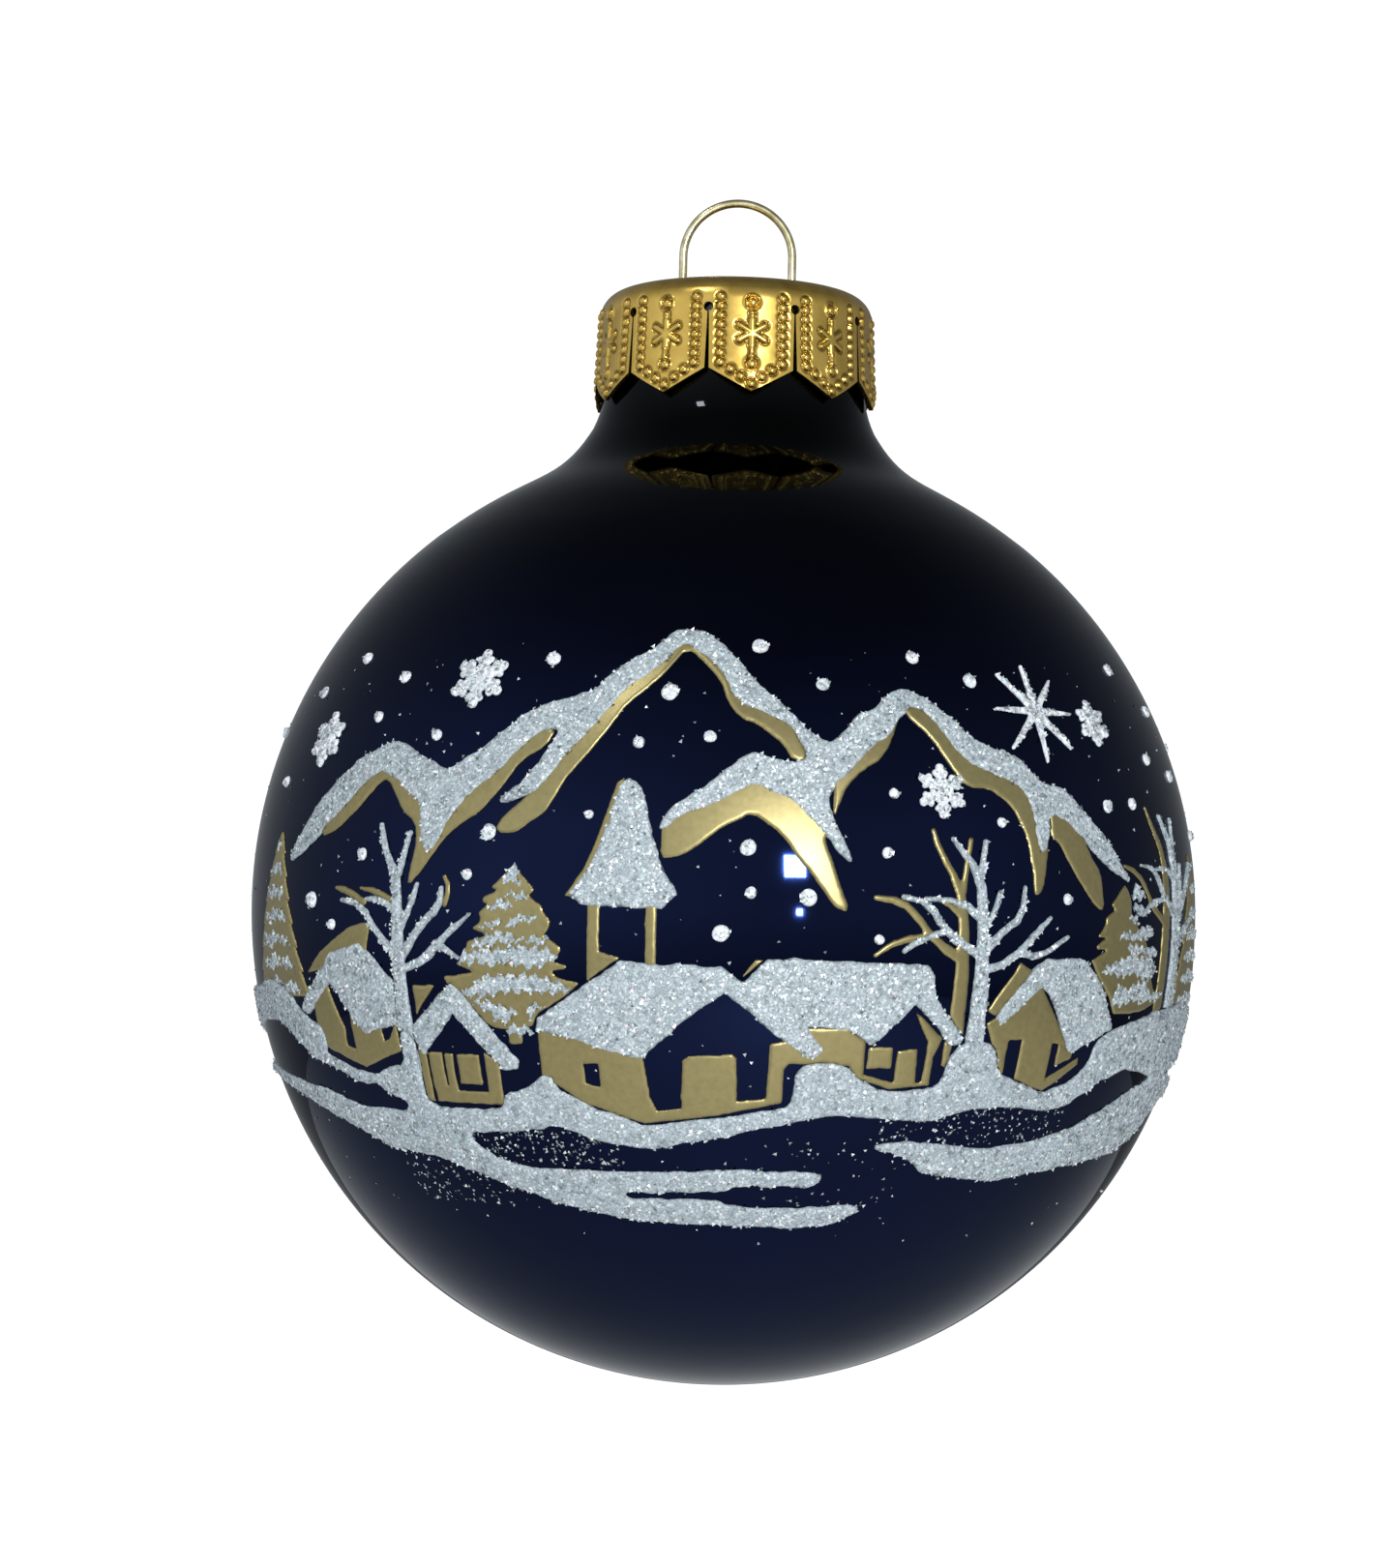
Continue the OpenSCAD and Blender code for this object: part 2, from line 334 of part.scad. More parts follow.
module mountain_snow() color(snow) relief(snow_t) shape(mountain);
module mountain_gold() color(gold) relief(gold_t) difference() {
  for (m = mountain_shade) shape(m);
  shape(mountain);
  trees(tree_left);
  trees(tree_right);
  pine_shapes(pines);
}
module roof_snow() color(snow) relief(snow_t) difference() {
  for (m = roofs) shape(m);
  trees(tree_left);
  trees(tree_right);
  shape(village_drift);
}
module wall_gold() color(gold) relief(gold_t) difference() {
  for (m = walls) shape(m);
  for (m = roofs) shape(m);
  trees(tree_left);
  trees(tree_right);
  trees(tree_right_gold);
  shape(village_drift);
}
module pine_snow() color(snow) {
  relief(snow_t) difference() {
    pine_boughs(pines);
    for (m = roofs) shape(m);
    shape(front_house);
    trees(tree_left);
    shape(village_drift);
  }
  relief(snow_t, wing) difference() {
    pine_boughs(wing_pines, wing);
    trees(tree_wing, wing);
    shape(wing_drift, wing);
  }
}
module pine_gold() color(gold) {
  relief(gold_t) difference() {
    pine_shapes(pines);
    pine_boughs(pines);
    for (m = roofs) shape(m);
    for (m = walls) shape(m);
    shape(front_house);
    shape(mountain);
    trees(tree_left);
    shape(village_drift);
  }
  relief(gold_t, wing) difference() {
    pine_shapes(wing_pines, wing);
    pine_boughs(wing_pines, wing);
    trees(tree_wing, wing);
    trees(tree_wing_gold, wing);
    shape(wing_drift, wing);
  }
}
module bare_tree_snow() color(snow) {
  relief(snow_t) difference() {
    union() {
      trees(tree_left);
      trees(tree_right);
    }
    shape(village_drift);
  }
  relief(snow_t, wing) difference() {
    trees(tree_wing, wing);
    shape(wing_drift, wing);
  }
}
module bare_tree_gold() color(gold) {
  relief(gold_t) difference() {
    union() {
      trees(tree_left_gold);
      trees(tree_right_gold);
    }
    trees(tree_left);
    trees(tree_right);
    for (m = roofs) shape(m);
    shape(village_drift);
  }
  relief(gold_t, wing) difference() {
    trees(tree_wing_gold, wing);
    trees(tree_wing, wing);
    shape(wing_drift, wing);
  }
}
module ground_snow() color(snow) {
  intersection() {
    relief(snow_t) union() {
      shape(village_drift);
      shape(right_drift);
    }
    union() {
      wedge(0, 33.5);
      rotate([0, 0, 180]) wedge(0, 33.5);
    }
  }
  intersection() {
    relief(snow_t, wing) shape(wing_drift, wing);
    union() {
      wedge(wing, wing - 33.5);
      rotate([0, 0, 180]) wedge(wing, wing - 33.5);
    }
  }
}
module snowflakes() color(snow) for (f = flakes) spot(f, snow_t) flake(f[2]);
module snow_dots() color(snow) for (d = dots) spot(d, snow_t) circle(d[2], $fn = 24);
module guiding_star() color(snow) spot(star_at, snow_t)
  polygon(star_outline([3.6, 3.8, 3.8, 3.7, 3.5, 4.1, 3.8, 3.9], 0.75));

glass_ball();
silver_lining();
blue_lacquer();
mountain_snow();
mountain_gold();
roof_snow();
wall_gold();
pine_snow();
pine_gold();
bare_tree_snow();
bare_tree_gold();
ground_snow();
snowflakes();
snow_dots();
guiding_star();
crown_cap();
wire_hanger();
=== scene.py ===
"""Blown glass christmas ball with a printed winter village, a stamped crown cap and a wire hanger.

Shapes are worked out in millimetres from the ball's centre and moved to the frame's hang point.
The print is drawn on a flat sheet: u is mm round the equator from the front, v is mm up the
ball's meridian. One scene covers half the ball and is repeated on the back.
"""

from math import acos, atan2, cos, pi, radians, sin, sqrt, tan

import bpy
import numpy as np
from mathutils import Matrix, Vector


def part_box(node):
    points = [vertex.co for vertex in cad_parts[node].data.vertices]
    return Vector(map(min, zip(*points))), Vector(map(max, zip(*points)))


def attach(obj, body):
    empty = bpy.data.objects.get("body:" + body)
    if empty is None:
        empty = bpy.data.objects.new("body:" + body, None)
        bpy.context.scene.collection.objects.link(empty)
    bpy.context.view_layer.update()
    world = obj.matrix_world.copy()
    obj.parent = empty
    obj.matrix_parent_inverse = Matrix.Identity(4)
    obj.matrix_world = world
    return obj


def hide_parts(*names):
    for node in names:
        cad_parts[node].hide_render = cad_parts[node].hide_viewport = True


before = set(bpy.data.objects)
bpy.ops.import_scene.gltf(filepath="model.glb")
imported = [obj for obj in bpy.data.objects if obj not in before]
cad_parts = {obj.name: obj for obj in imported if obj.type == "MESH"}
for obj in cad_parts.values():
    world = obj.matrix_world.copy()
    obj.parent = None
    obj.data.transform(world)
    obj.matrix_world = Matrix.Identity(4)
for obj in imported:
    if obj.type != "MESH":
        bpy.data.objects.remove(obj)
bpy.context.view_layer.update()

R = 33.5  # outside of the lacquer
COAT = 0.1  # lacquer and silvering
GAP = 0.01  # between a coat and the glass
GLASS_R = R - COAT - GAP
GLASS_WALL = 0.6
NECK_R = 9.2
NECK_CURVE = 8.5  # hollow curve between ball and neck
CURVE_Z = sqrt((GLASS_R + NECK_CURVE) ** 2 - (NECK_R + NECK_CURVE) ** 2)
NECK_TOP = 42.9
CAP_TOP = 44.2
SHEET = 0.3  # the cap's metal
PETALS = 10
FIRST_PETAL = 6.5  # degrees to the right of the front
LOOP_R = 3.93  # middle line of the wire's arch
LOOP_Z = 47.1  # where the arch springs from the legs
WIRE = 0.3  # half the wire's thickness
SCENE = pi * R  # length of one scene round the equator
BALL_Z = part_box("glass_ball")[0].z * 1000 + GLASS_R  # ball's centre below the hang point
EDGE = 0.03  # how far print runs into the lacquer, and its lip
FAR = 9.0  # stands for far outside a shape


# ---------- camera ----------
def point_camera(distance, lens, up, left, roll):
    """Stands level with the ball's centre and turns by small angles (degrees) off it."""
    to_ball = Vector((tan(radians(left)), -tan(radians(up)), -1)).normalized()
    top = Vector((sin(radians(roll)), cos(radians(roll)), 0))
    top = (top - top.dot(to_ball) * to_ball).normalized()
    turn = Matrix((to_ball.cross(top), to_ball, top)).to_4x4()
    data = bpy.data.cameras.new("camera")
    data.lens, data.sensor_width, data.clip_start = lens, 36, 0.01
    eye = bpy.data.objects.new("camera", data)
    bpy.context.scene.collection.objects.link(eye)
    eye.matrix_world = Matrix.Translation((0, -distance / 1000, BALL_Z / 1000)) @ turn
    bpy.context.scene.camera = eye


point_camera(distance=240, lens=76.8, up=2.16, left=0.41, roll=1.3)
bpy.context.scene.view_settings.view_transform = "Standard"


# ---------- materials ----------
def tone(code, alpha=1.0):
    """Linear colour of an sRGB hex code: a part up to 0.04045 is divided by 12.92, a larger one has
    0.055 added, is divided by 1.055 and raised to the power 2.4."""
    parts = [int(code[i : i + 2], 16) / 255 for i in (1, 3, 5)]
    return (*[p / 12.92 if p <= 0.04045 else ((p + 0.055) / 1.055) ** 2.4 for p in parts], alpha)


def add(tree, kind, inputs=None, stops=(), **settings):
    """One node with its settings; inputs are values or sockets to link from, and stops are the
    places and colours along a colour ramp."""
    made = tree.nodes.new(kind)
    for key, value in settings.items():
        setattr(made, key, value)
    while stops and len(made.color_ramp.elements) < len(stops):
        made.color_ramp.elements.new(0.5)
    for number, (place, colour) in enumerate(stops):
        stop = made.color_ramp.elements[number]
        stop.position, stop.color = place, colour
    for key, value in (inputs or {}).items():
        if isinstance(value, bpy.types.NodeSocket):
            tree.links.new(value, made.inputs[key])
        else:
            made.inputs[key].default_value = value
    return made


def new_material(name, settings):
    """A material and its shader, with the shader's constants set on its own sockets."""
    made = bpy.data.materials.new(name)
    made.use_nodes = True
    tree = made.node_tree
    body = tree.nodes["Principled BSDF"]
    for key, value in settings.items():
        body.inputs[key].default_value = value
    return made, tree, body


def navy_lacquer():
    # Deep blue spray lacquer over silvered glass: a dark mirror, blue where it is seen straight
    # on, whose rim stays grey rather than white, with the faint unevenness of spraying. Its colour
    # turns nearly black towards the neck: painted shade for the dark reflection over the top.
    made, tree, body = new_material("navy_lacquer", {
        "Metallic": 1.0, "Roughness": 0.05, "Specular Tint": (0.6, 0.62, 0.64, 1.0),
        "Coat Weight": 0.1, "Coat Roughness": 0.03})
    place = add(tree, "ShaderNodeTexCoord").outputs["Object"]
    cloud = add(tree, "ShaderNodeTexNoise", {"Vector": place, "Scale": 60.0, "Detail": 3.0})
    colour = add(tree, "ShaderNodeValToRGB", {"Fac": cloud.outputs["Fac"]}, stops=[
        (0.3, tone("#060f2c")), (0.7, tone("#081333"))])
    height = add(tree, "ShaderNodeSeparateXYZ", {"Vector": place}).outputs["Z"]
    # painted shade: the base colour darkens to near black over the top towards the neck
    neck = add(tree, "ShaderNodeMapRange", {"Value": height, "From Min": (BALL_Z + 12) / 1000,
                                            "From Max": (BALL_Z + 33) / 1000})
    thick = add(tree, "ShaderNodeMix", {0: neck.outputs["Result"], 6: colour.outputs["Color"],
                                        7: tone("#07090b")}, data_type="RGBA")
    tree.links.new(thick.outputs[2], body.inputs["Base Color"])
    peel = add(tree, "ShaderNodeTexNoise", {"Vector": place, "Scale": 450.0, "Detail": 1.0})
    bump = add(tree, "ShaderNodeBump", {"Height": peel.outputs["Fac"], "Strength": 0.02,
                                        "Distance": 0.0002})
    tree.links.new(bump.outputs["Normal"], body.inputs["Normal"])
    return made


def glitter_snow(name, gap, body_tone, bright):
    # White glitter sprinkled on wet adhesive: crumbs 0.36 mm across that run into one another,
    # soft grey in the gaps between them, each at its own slight tilt, a few flashing like foil.
    crumbs_per_metre = 2800.0
    made, tree, body = new_material(name, {"Roughness": 0.45})
    place = add(tree, "ShaderNodeTexCoord").outputs["Object"]
    drift = add(tree, "ShaderNodeTexNoise", {"Vector": place, "Scale": 2600.0, "Detail": 1.0})
    shift = add(tree, "ShaderNodeVectorMath", {0: drift.outputs["Color"], 1: (0.5, 0.5, 0.5)},
                operation="SUBTRACT")
    small = add(tree, "ShaderNodeVectorMath", {0: shift.outputs["Vector"], "Scale": 0.0009},
                operation="SCALE")
    bent = add(tree, "ShaderNodeVectorMath", {0: place, 1: small.outputs["Vector"]}, operation="ADD")
    where = bent.outputs["Vector"]
    gaps = add(tree, "ShaderNodeTexVoronoi", {"Vector": where, "Scale": crumbs_per_metre},
               feature="DISTANCE_TO_EDGE")
    colour = add(tree, "ShaderNodeValToRGB", {"Fac": gaps.outputs["Distance"]}, stops=[
        (0.0, tone(gap)), (0.12, tone(body_tone)), (0.45, tone(bright))])
    tree.links.new(colour.outputs["Color"], body.inputs["Base Color"])
    crumbs = add(tree, "ShaderNodeTexVoronoi", {"Vector": where, "Scale": crumbs_per_metre})
    parts = add(tree, "ShaderNodeSeparateColor", {"Color": crumbs.outputs["Color"]})
    shine = add(tree, "ShaderNodeValToRGB", {"Fac": parts.outputs["Green"]}, stops=[
        (0.0, (0, 0, 0, 1)), (0.9, (0.05, 0.05, 0.05, 1)), (0.95, (0.7, 0.7, 0.7, 1))])
    tree.links.new(shine.outputs["Color"], body.inputs["Metallic"])
    level = add(tree, "ShaderNodeVectorMath", {0: crumbs.outputs["Color"], 1: (0.5, 0.5, 0.5)},
                operation="SUBTRACT")
    tilt = add(tree, "ShaderNodeVectorMath", {0: level.outputs["Vector"], "Scale": 0.4},
               operation="SCALE")
    facing = add(tree, "ShaderNodeNewGeometry").outputs["Normal"]
    leaning = add(tree, "ShaderNodeVectorMath", {0: facing, 1: tilt.outputs["Vector"]}, operation="ADD")
    unit = add(tree, "ShaderNodeVectorMath", {0: leaning.outputs["Vector"]}, operation="NORMALIZE")
    tree.links.new(unit.outputs["Vector"], body.inputs["Normal"])
    return made


def loose_glitter():
    # The same crumbs lying proud of the rest or strayed onto the lacquer: polyester film, white
    # with a pale rainbow. Each crumb's tint comes with its mesh, from dull to bright: painted glint
    # for crumbs that catch the light and painted shade for those turned away from it.
    made, tree, body = new_material("loose_glitter", {"Metallic": 0.35, "Roughness": 0.3})
    tint_and_glint = add(tree, "ShaderNodeAttribute", attribute_name="tint_and_glint").outputs["Fac"]
    colour = add(tree, "ShaderNodeValToRGB", {"Fac": tint_and_glint}, stops=[
        (0.0, tone("#47524f")), (0.3, tone("#8f9b9c")), (0.55, tone("#a9b4b9")), (0.92, tone("#dbe3e7")),
        (0.95, tone("#f2dfea")), (0.975, tone("#d3f3df")), (1.0, tone("#d6dcff"))])
    tree.links.new(colour.outputs["Color"], body.inputs["Base Color"])
    return made


def gold_paint():
    # Screen-printed gold ink: bronze powder in a matt binder, flat khaki away from the light and
    # pale gold where it catches it.
    made, tree, body = new_material("gold_paint", {"Metallic": 0.85, "Roughness": 0.36})
    place = add(tree, "ShaderNodeTexCoord").outputs["Object"]
    powder = add(tree, "ShaderNodeTexNoise", {"Vector": place, "Scale": 2500.0, "Detail": 2.0})
    colour = add(tree, "ShaderNodeValToRGB", {"Fac": powder.outputs["Fac"]}, stops=[
        (0.3, tone("#8c8259")), (0.7, tone("#978c61"))])
    tree.links.new(colour.outputs["Color"], body.inputs["Base Color"])
    bump = add(tree, "ShaderNodeBump", {"Height": powder.outputs["Fac"], "Strength": 0.06,
                                        "Distance": 0.00005})
    tree.links.new(bump.outputs["Normal"], body.inputs["Normal"])
    return made


def stamped_brass():
    # Thin tinplate with a gold lacquer, pressed in a die: bright on the high spots, its colour
    # darkened to brown in the grooves as painted shade.
    made, tree, body = new_material("stamped_cap_metal", {"Metallic": 1.0})
    place = add(tree, "ShaderNodeTexCoord").outputs["Object"]
    sunk = add(tree, "ShaderNodeAttribute", attribute_name="groove_shade").outputs["Fac"]
    wear = add(tree, "ShaderNodeTexNoise", {"Vector": place, "Scale": 700.0, "Detail": 4.0})
    colour = add(tree, "ShaderNodeValToRGB", {"Fac": wear.outputs["Fac"]}, stops=[
        (0.3, tone("#ba9a49")), (0.7, tone("#cfaf5d"))])
    # painted shade: the colour is mixed towards brown where the stamping is sunk
    dark = add(tree, "ShaderNodeMix", {0: sunk, 6: colour.outputs["Color"], 7: tone("#5d4116")},
               data_type="RGBA")
    tree.links.new(dark.outputs[2], body.inputs["Base Color"])
    rough = add(tree, "ShaderNodeMapRange", {"Value": wear.outputs["Fac"], "To Min": 0.18, "To Max": 0.34})
    tree.links.new(rough.outputs["Result"], body.inputs["Roughness"])
    bump = add(tree, "ShaderNodeBump", {"Height": wear.outputs["Fac"], "Strength": 0.15,
                                        "Distance": 0.0001})
    tree.links.new(bump.outputs["Normal"], body.inputs["Normal"])
    return made


def drawn_wire():
    # Spring wire with a thin brass flash, seen as a pale line with a slightly uneven shine.
    made, tree, body = new_material("drawn_wire", {"Metallic": 1.0, "Roughness": 0.24})
    place = add(tree, "ShaderNodeTexCoord").outputs["Object"]
    lines = add(tree, "ShaderNodeTexNoise", {"Vector": place, "Scale": 1500.0, "Detail": 2.0})
    colour = add(tree, "ShaderNodeValToRGB", {"Fac": lines.outputs["Fac"]}, stops=[
        (0.3, tone("#aaa078")), (0.7, tone("#dad2ae"))])
    tree.links.new(colour.outputs["Color"], body.inputs["Base Color"])
    return made


def clear_glass():
    # Mouth-blown soda glass, seen only at the neck's rim when the ball is off its cap.
    made, tree, body = new_material("blown_glass", {
        "Roughness": 0.02, "IOR": 1.52, "Transmission Weight": 1.0})
    place = add(tree, "ShaderNodeTexCoord").outputs["Object"]
    cord = add(tree, "ShaderNodeTexNoise", {"Vector": place, "Scale": 120.0})
    colour = add(tree, "ShaderNodeValToRGB", {"Fac": cord.outputs["Fac"]}, stops=[
        (0.3, tone("#eef4f6")), (0.7, tone("#ffffff"))])
    tree.links.new(colour.outputs["Color"], body.inputs["Base Color"])
    return made


def silvering():
    # Silver nitrate mirror on the inside of the glass, slightly milky on its free side.
    made, tree, body = new_material("silvering", {"Metallic": 1.0, "Roughness": 0.18})
    place = add(tree, "ShaderNodeTexCoord").outputs["Object"]
    milk = add(tree, "ShaderNodeTexNoise", {"Vector": place, "Scale": 250.0, "Detail": 4.0})
    colour = add(tree, "ShaderNodeValToRGB", {"Fac": milk.outputs["Fac"]}, stops=[
        (0.3, tone("#b9babd")), (0.7, tone("#e4e4e6"))])
    tree.links.new(colour.outputs["Color"], body.inputs["Base Color"])
    return made


# ---------- meshes ----------
def closed(outer, inner, triangles):
    """Outer faces, the same faces turned over on the inner points, and a wall of two triangles
    along every side that only one face uses."""
    n = len(outer)
    sides = np.concatenate([triangles[:, (0, 1)], triangles[:, (1, 2)], triangles[:, (2, 0)]])
    key, back = sides[:, 0] * n + sides[:, 1], sides[:, 1] * n + sides[:, 0]
    rim = sides[~np.isin(key, back)]
    a, b = rim[:, 0], rim[:, 1]
    walls = np.concatenate([np.stack([b, a, a + n], 1), np.stack([b, a + n, b + n], 1)])
    return (np.concatenate([outer, inner]),
            np.concatenate([triangles, triangles[:, ::-1] + n, walls]))


def welded(places, triangles):
    """Makes one of points whose places agree to a tenth of a micron and drops faces that vanish;
    gives the points to keep and the triangles between them."""
    _, first, same = np.unique(np.round(places, 4), axis=0, return_index=True, return_inverse=True)
    triangles = same.ravel()[triangles]
    a, b, c = triangles.T
    return first, triangles[(a != b) & (b != c) & (c != a)]


def quads(rows, cols, wrap):
    """Triangles of a grid of rows by cols points; wrap joins the last column to the first."""
    at = np.arange(rows * cols).reshape(rows, cols)
    if wrap:
        at = np.concatenate([at, at[:, :1]], 1)
    a, b, c, d = at[:-1, :-1], at[:-1, 1:], at[1:, 1:], at[1:, :-1]
    return np.concatenate([np.stack([p.ravel() for p in t], 1) for t in ((a, b, c), (a, c, d))])


def piece(name, points, triangles, material, body, slot, stands_for=(), values=None):
    """A mesh object from mm points about the ball's centre, riding on a body; values are numbers
    kept with its points or faces for the material."""
    mesh = bpy.data.meshes.new(name)
    place = (points + (0, 0, BALL_Z)) / 1000
    mesh.vertices.add(len(place))
    mesh.vertices.foreach_set("co", place.ravel())
    mesh.loops.add(triangles.size)
    mesh.loops.foreach_set("vertex_index", triangles.ravel().astype(np.int32))
    mesh.polygons.add(len(triangles))
    mesh.polygons.foreach_set("loop_start", np.arange(0, triangles.size, 3, dtype=np.int32))
    mesh.update(calc_edges=True)
    mesh.polygons.foreach_set("use_smooth", np.ones(len(triangles), bool))
    mesh.set_sharp_from_angle(angle=radians(50))
    for key, (domain, numbers) in (values or {}).items():
        mesh.attributes.new(key, "FLOAT", domain).data.foreach_set("value", numbers.astype(np.float32))
    mesh.materials.append(material)
    made = bpy.data.objects.new(name, mesh)
    bpy.context.scene.collection.objects.link(made)
    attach(made, body)
    if stands_for:
        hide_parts(*stands_for)


# ---------- ball ----------
BALL_STEPS = 224  # round the ball


def ball_line(inset, top):
    """Half outline (r, z) of ball, hollow curve and neck, moved in from the glass surface:
    circle of the ball, circle of the curve met tangentially, then straight up the neck. The join
    of the two circles is eased six times over by making each point half itself and a quarter of
    either neighbour."""
    meet = atan2(CURVE_Z, NECK_R + NECK_CURVE)
    ball = np.linspace(-pi / 2, meet, 110)
    curve = np.linspace(pi + meet, pi, 16)[1:]
    neck = np.linspace(CURVE_Z, top, 5)[1:]
    r = [(GLASS_R - inset) * np.cos(ball), NECK_R + NECK_CURVE + (NECK_CURVE + inset) * np.cos(curve),
         np.full(4, NECK_R - inset)]
    z = [(GLASS_R - inset) * np.sin(ball), CURVE_Z + (NECK_CURVE + inset) * np.sin(curve), neck]
    line = np.stack([np.concatenate(r), np.concatenate(z)], 1)
    line[0, 0] = 0
    low, high = len(ball) - 10, len(ball) + 8
    for _ in range(6):
        line[low:high] = (line[low - 1 : high - 1] + 2 * line[low:high] + line[low + 1 : high + 1]) / 4
    return line


def turned(line, steps):
    """Surface of revolution: the (r, z) line is carried round the z axis."""
    a = np.arange(steps) * 2 * pi / steps
    r, z = line[:, :1], line[:, 1:]
    grid = np.stack([r * np.sin(a), -r * np.cos(a), z + 0 * a], 2)
    return grid.reshape(-1, 3), quads(len(line), steps, True)


def ball_skin(name, outer, inner, top, material, slot, stands_for):
    """A closed skin between two insets of the ball's outline, rounded over at the neck."""
    out, back = ball_line(outer, top), ball_line(inner, top)[::-1]
    rim = np.array([[NECK_R - (outer + inner) / 2, top + abs(inner - outer) * 0.4]])
    points, triangles = turned(np.concatenate([out, rim, back]), BALL_STEPS)
    kept, triangles = welded(points, triangles)
    piece(name, points[kept], triangles, material, "ball", slot, (stands_for,))


ball_skin("navy_lacquer_coat", -COAT - GAP, -GAP, NECK_TOP - 3, navy_lacquer(), "lacquer", "blue_lacquer")
ball_skin("blown_glass", 0, GLASS_WALL, NECK_TOP, clear_glass(), "glass", "glass_ball")
ball_skin("silver_mirror", GLASS_WALL + GAP, GLASS_WALL + GAP + COAT, NECK_TOP - 2, silvering(),
          "silvering", "silver_lining")

# ---------- cap ----------
ROUND = 1.8  # rounding between the cap's plate and its skirt
DOME = 0.3  # rise of the plate's middle
SKIRT_R = NECK_R + 0.6
PLATE_R = SKIRT_R - ROUND  # flat part of the plate
STAMP_TOP = 43.2  # the stamping starts part way down the rounding
LEG_HOLE = WIRE + 0.25
COIN_R = 6.7  # ring pressed into the plate
SLIT_TOP = 41.8  # middle of the round hole that ends each slit
SLIT_HOLE = 0.34
SIDE_FOOT = 37.5  # where the petals' sides end
TIP = 35.9  # lowest point of the petals' V-shaped feet
BEAD_HEIGHT = 0.19
BAR_HEIGHT = 0.15
RING_HEIGHT = 0.09
GROOVE = 0.07  # depth and width of the sunk line round each stamp
brass = stamped_brass()


def cap_plate():
    """The plate as rings from the middle out and over the rounded edge, a little domed, with a ring
    pressed in along a bell curve; points near the two leg holes are drawn onto their edges and the
    faces inside are left out."""
    flat = [np.arange(0, 3.1, 0.3), np.arange(3.1, 4.8, 0.08), np.arange(4.8, PLATE_R, 0.2)]
    flat = np.concatenate(flat)  # finest where the leg holes are
    bend = np.linspace(0, acos(1 - (CAP_TOP - STAMP_TOP) / ROUND), 10)
    r = np.concatenate([flat, PLATE_R + ROUND * np.sin(bend)])
    z = [CAP_TOP + DOME * (1 - (flat / PLATE_R) ** 2), CAP_TOP - ROUND + ROUND * np.cos(bend)]
    z = np.concatenate(z)
    coin = -0.16 * np.exp(-(((r - COIN_R) / 0.3) ** 2))
    steps = 400
    a = np.arange(steps) * 2 * pi / steps
    x, y = r[:, None] * np.cos(a), r[:, None] * np.sin(a)
    reach = 0.06  # how far the edge of a hole draws points to itself
    gone = np.zeros(x.shape, bool)
    for side in (-1, 1):
        away = np.hypot(x - side * LOOP_R, y)
        near = np.abs(away - LEG_HOLE) < reach
        scale = np.where(near, LEG_HOLE / np.maximum(away, 1e-6), 1)
        x, y = side * LOOP_R + (x - side * LOOP_R) * scale, y * scale
        gone |= away < LEG_HOLE - reach
    outer = np.stack([x, y, (z + coin)[:, None] + 0 * a], 2).reshape(-1, 3)
    inner_r = r - SHEET * np.concatenate([0 * flat, np.sin(bend)])
    inner_z = z + coin - SHEET * np.concatenate([0 * flat + 1, np.cos(bend)])
    shrink = np.where(r > 0, inner_r / np.maximum(r, 1e-6), 1)[:, None]
    inner = np.stack([x * shrink, y * shrink, inner_z[:, None] + 0 * a], 2).reshape(-1, 3)
    triangles = quads(len(r), steps, True)
    triangles = triangles[~gone.ravel()[triangles].any(1)]
    # painted shade: the colour is darkened along the ring pressed into the plate
    groove_shade = np.tile(np.clip(-coin * 5, 0, 1)[:, None], (1, steps)).ravel()
    points, triangles = closed(outer, inner, triangles[:, ::-1])
    kept, triangles = welded(points, triangles)
    return points[kept], triangles, np.tile(groove_shade, 2)[kept]


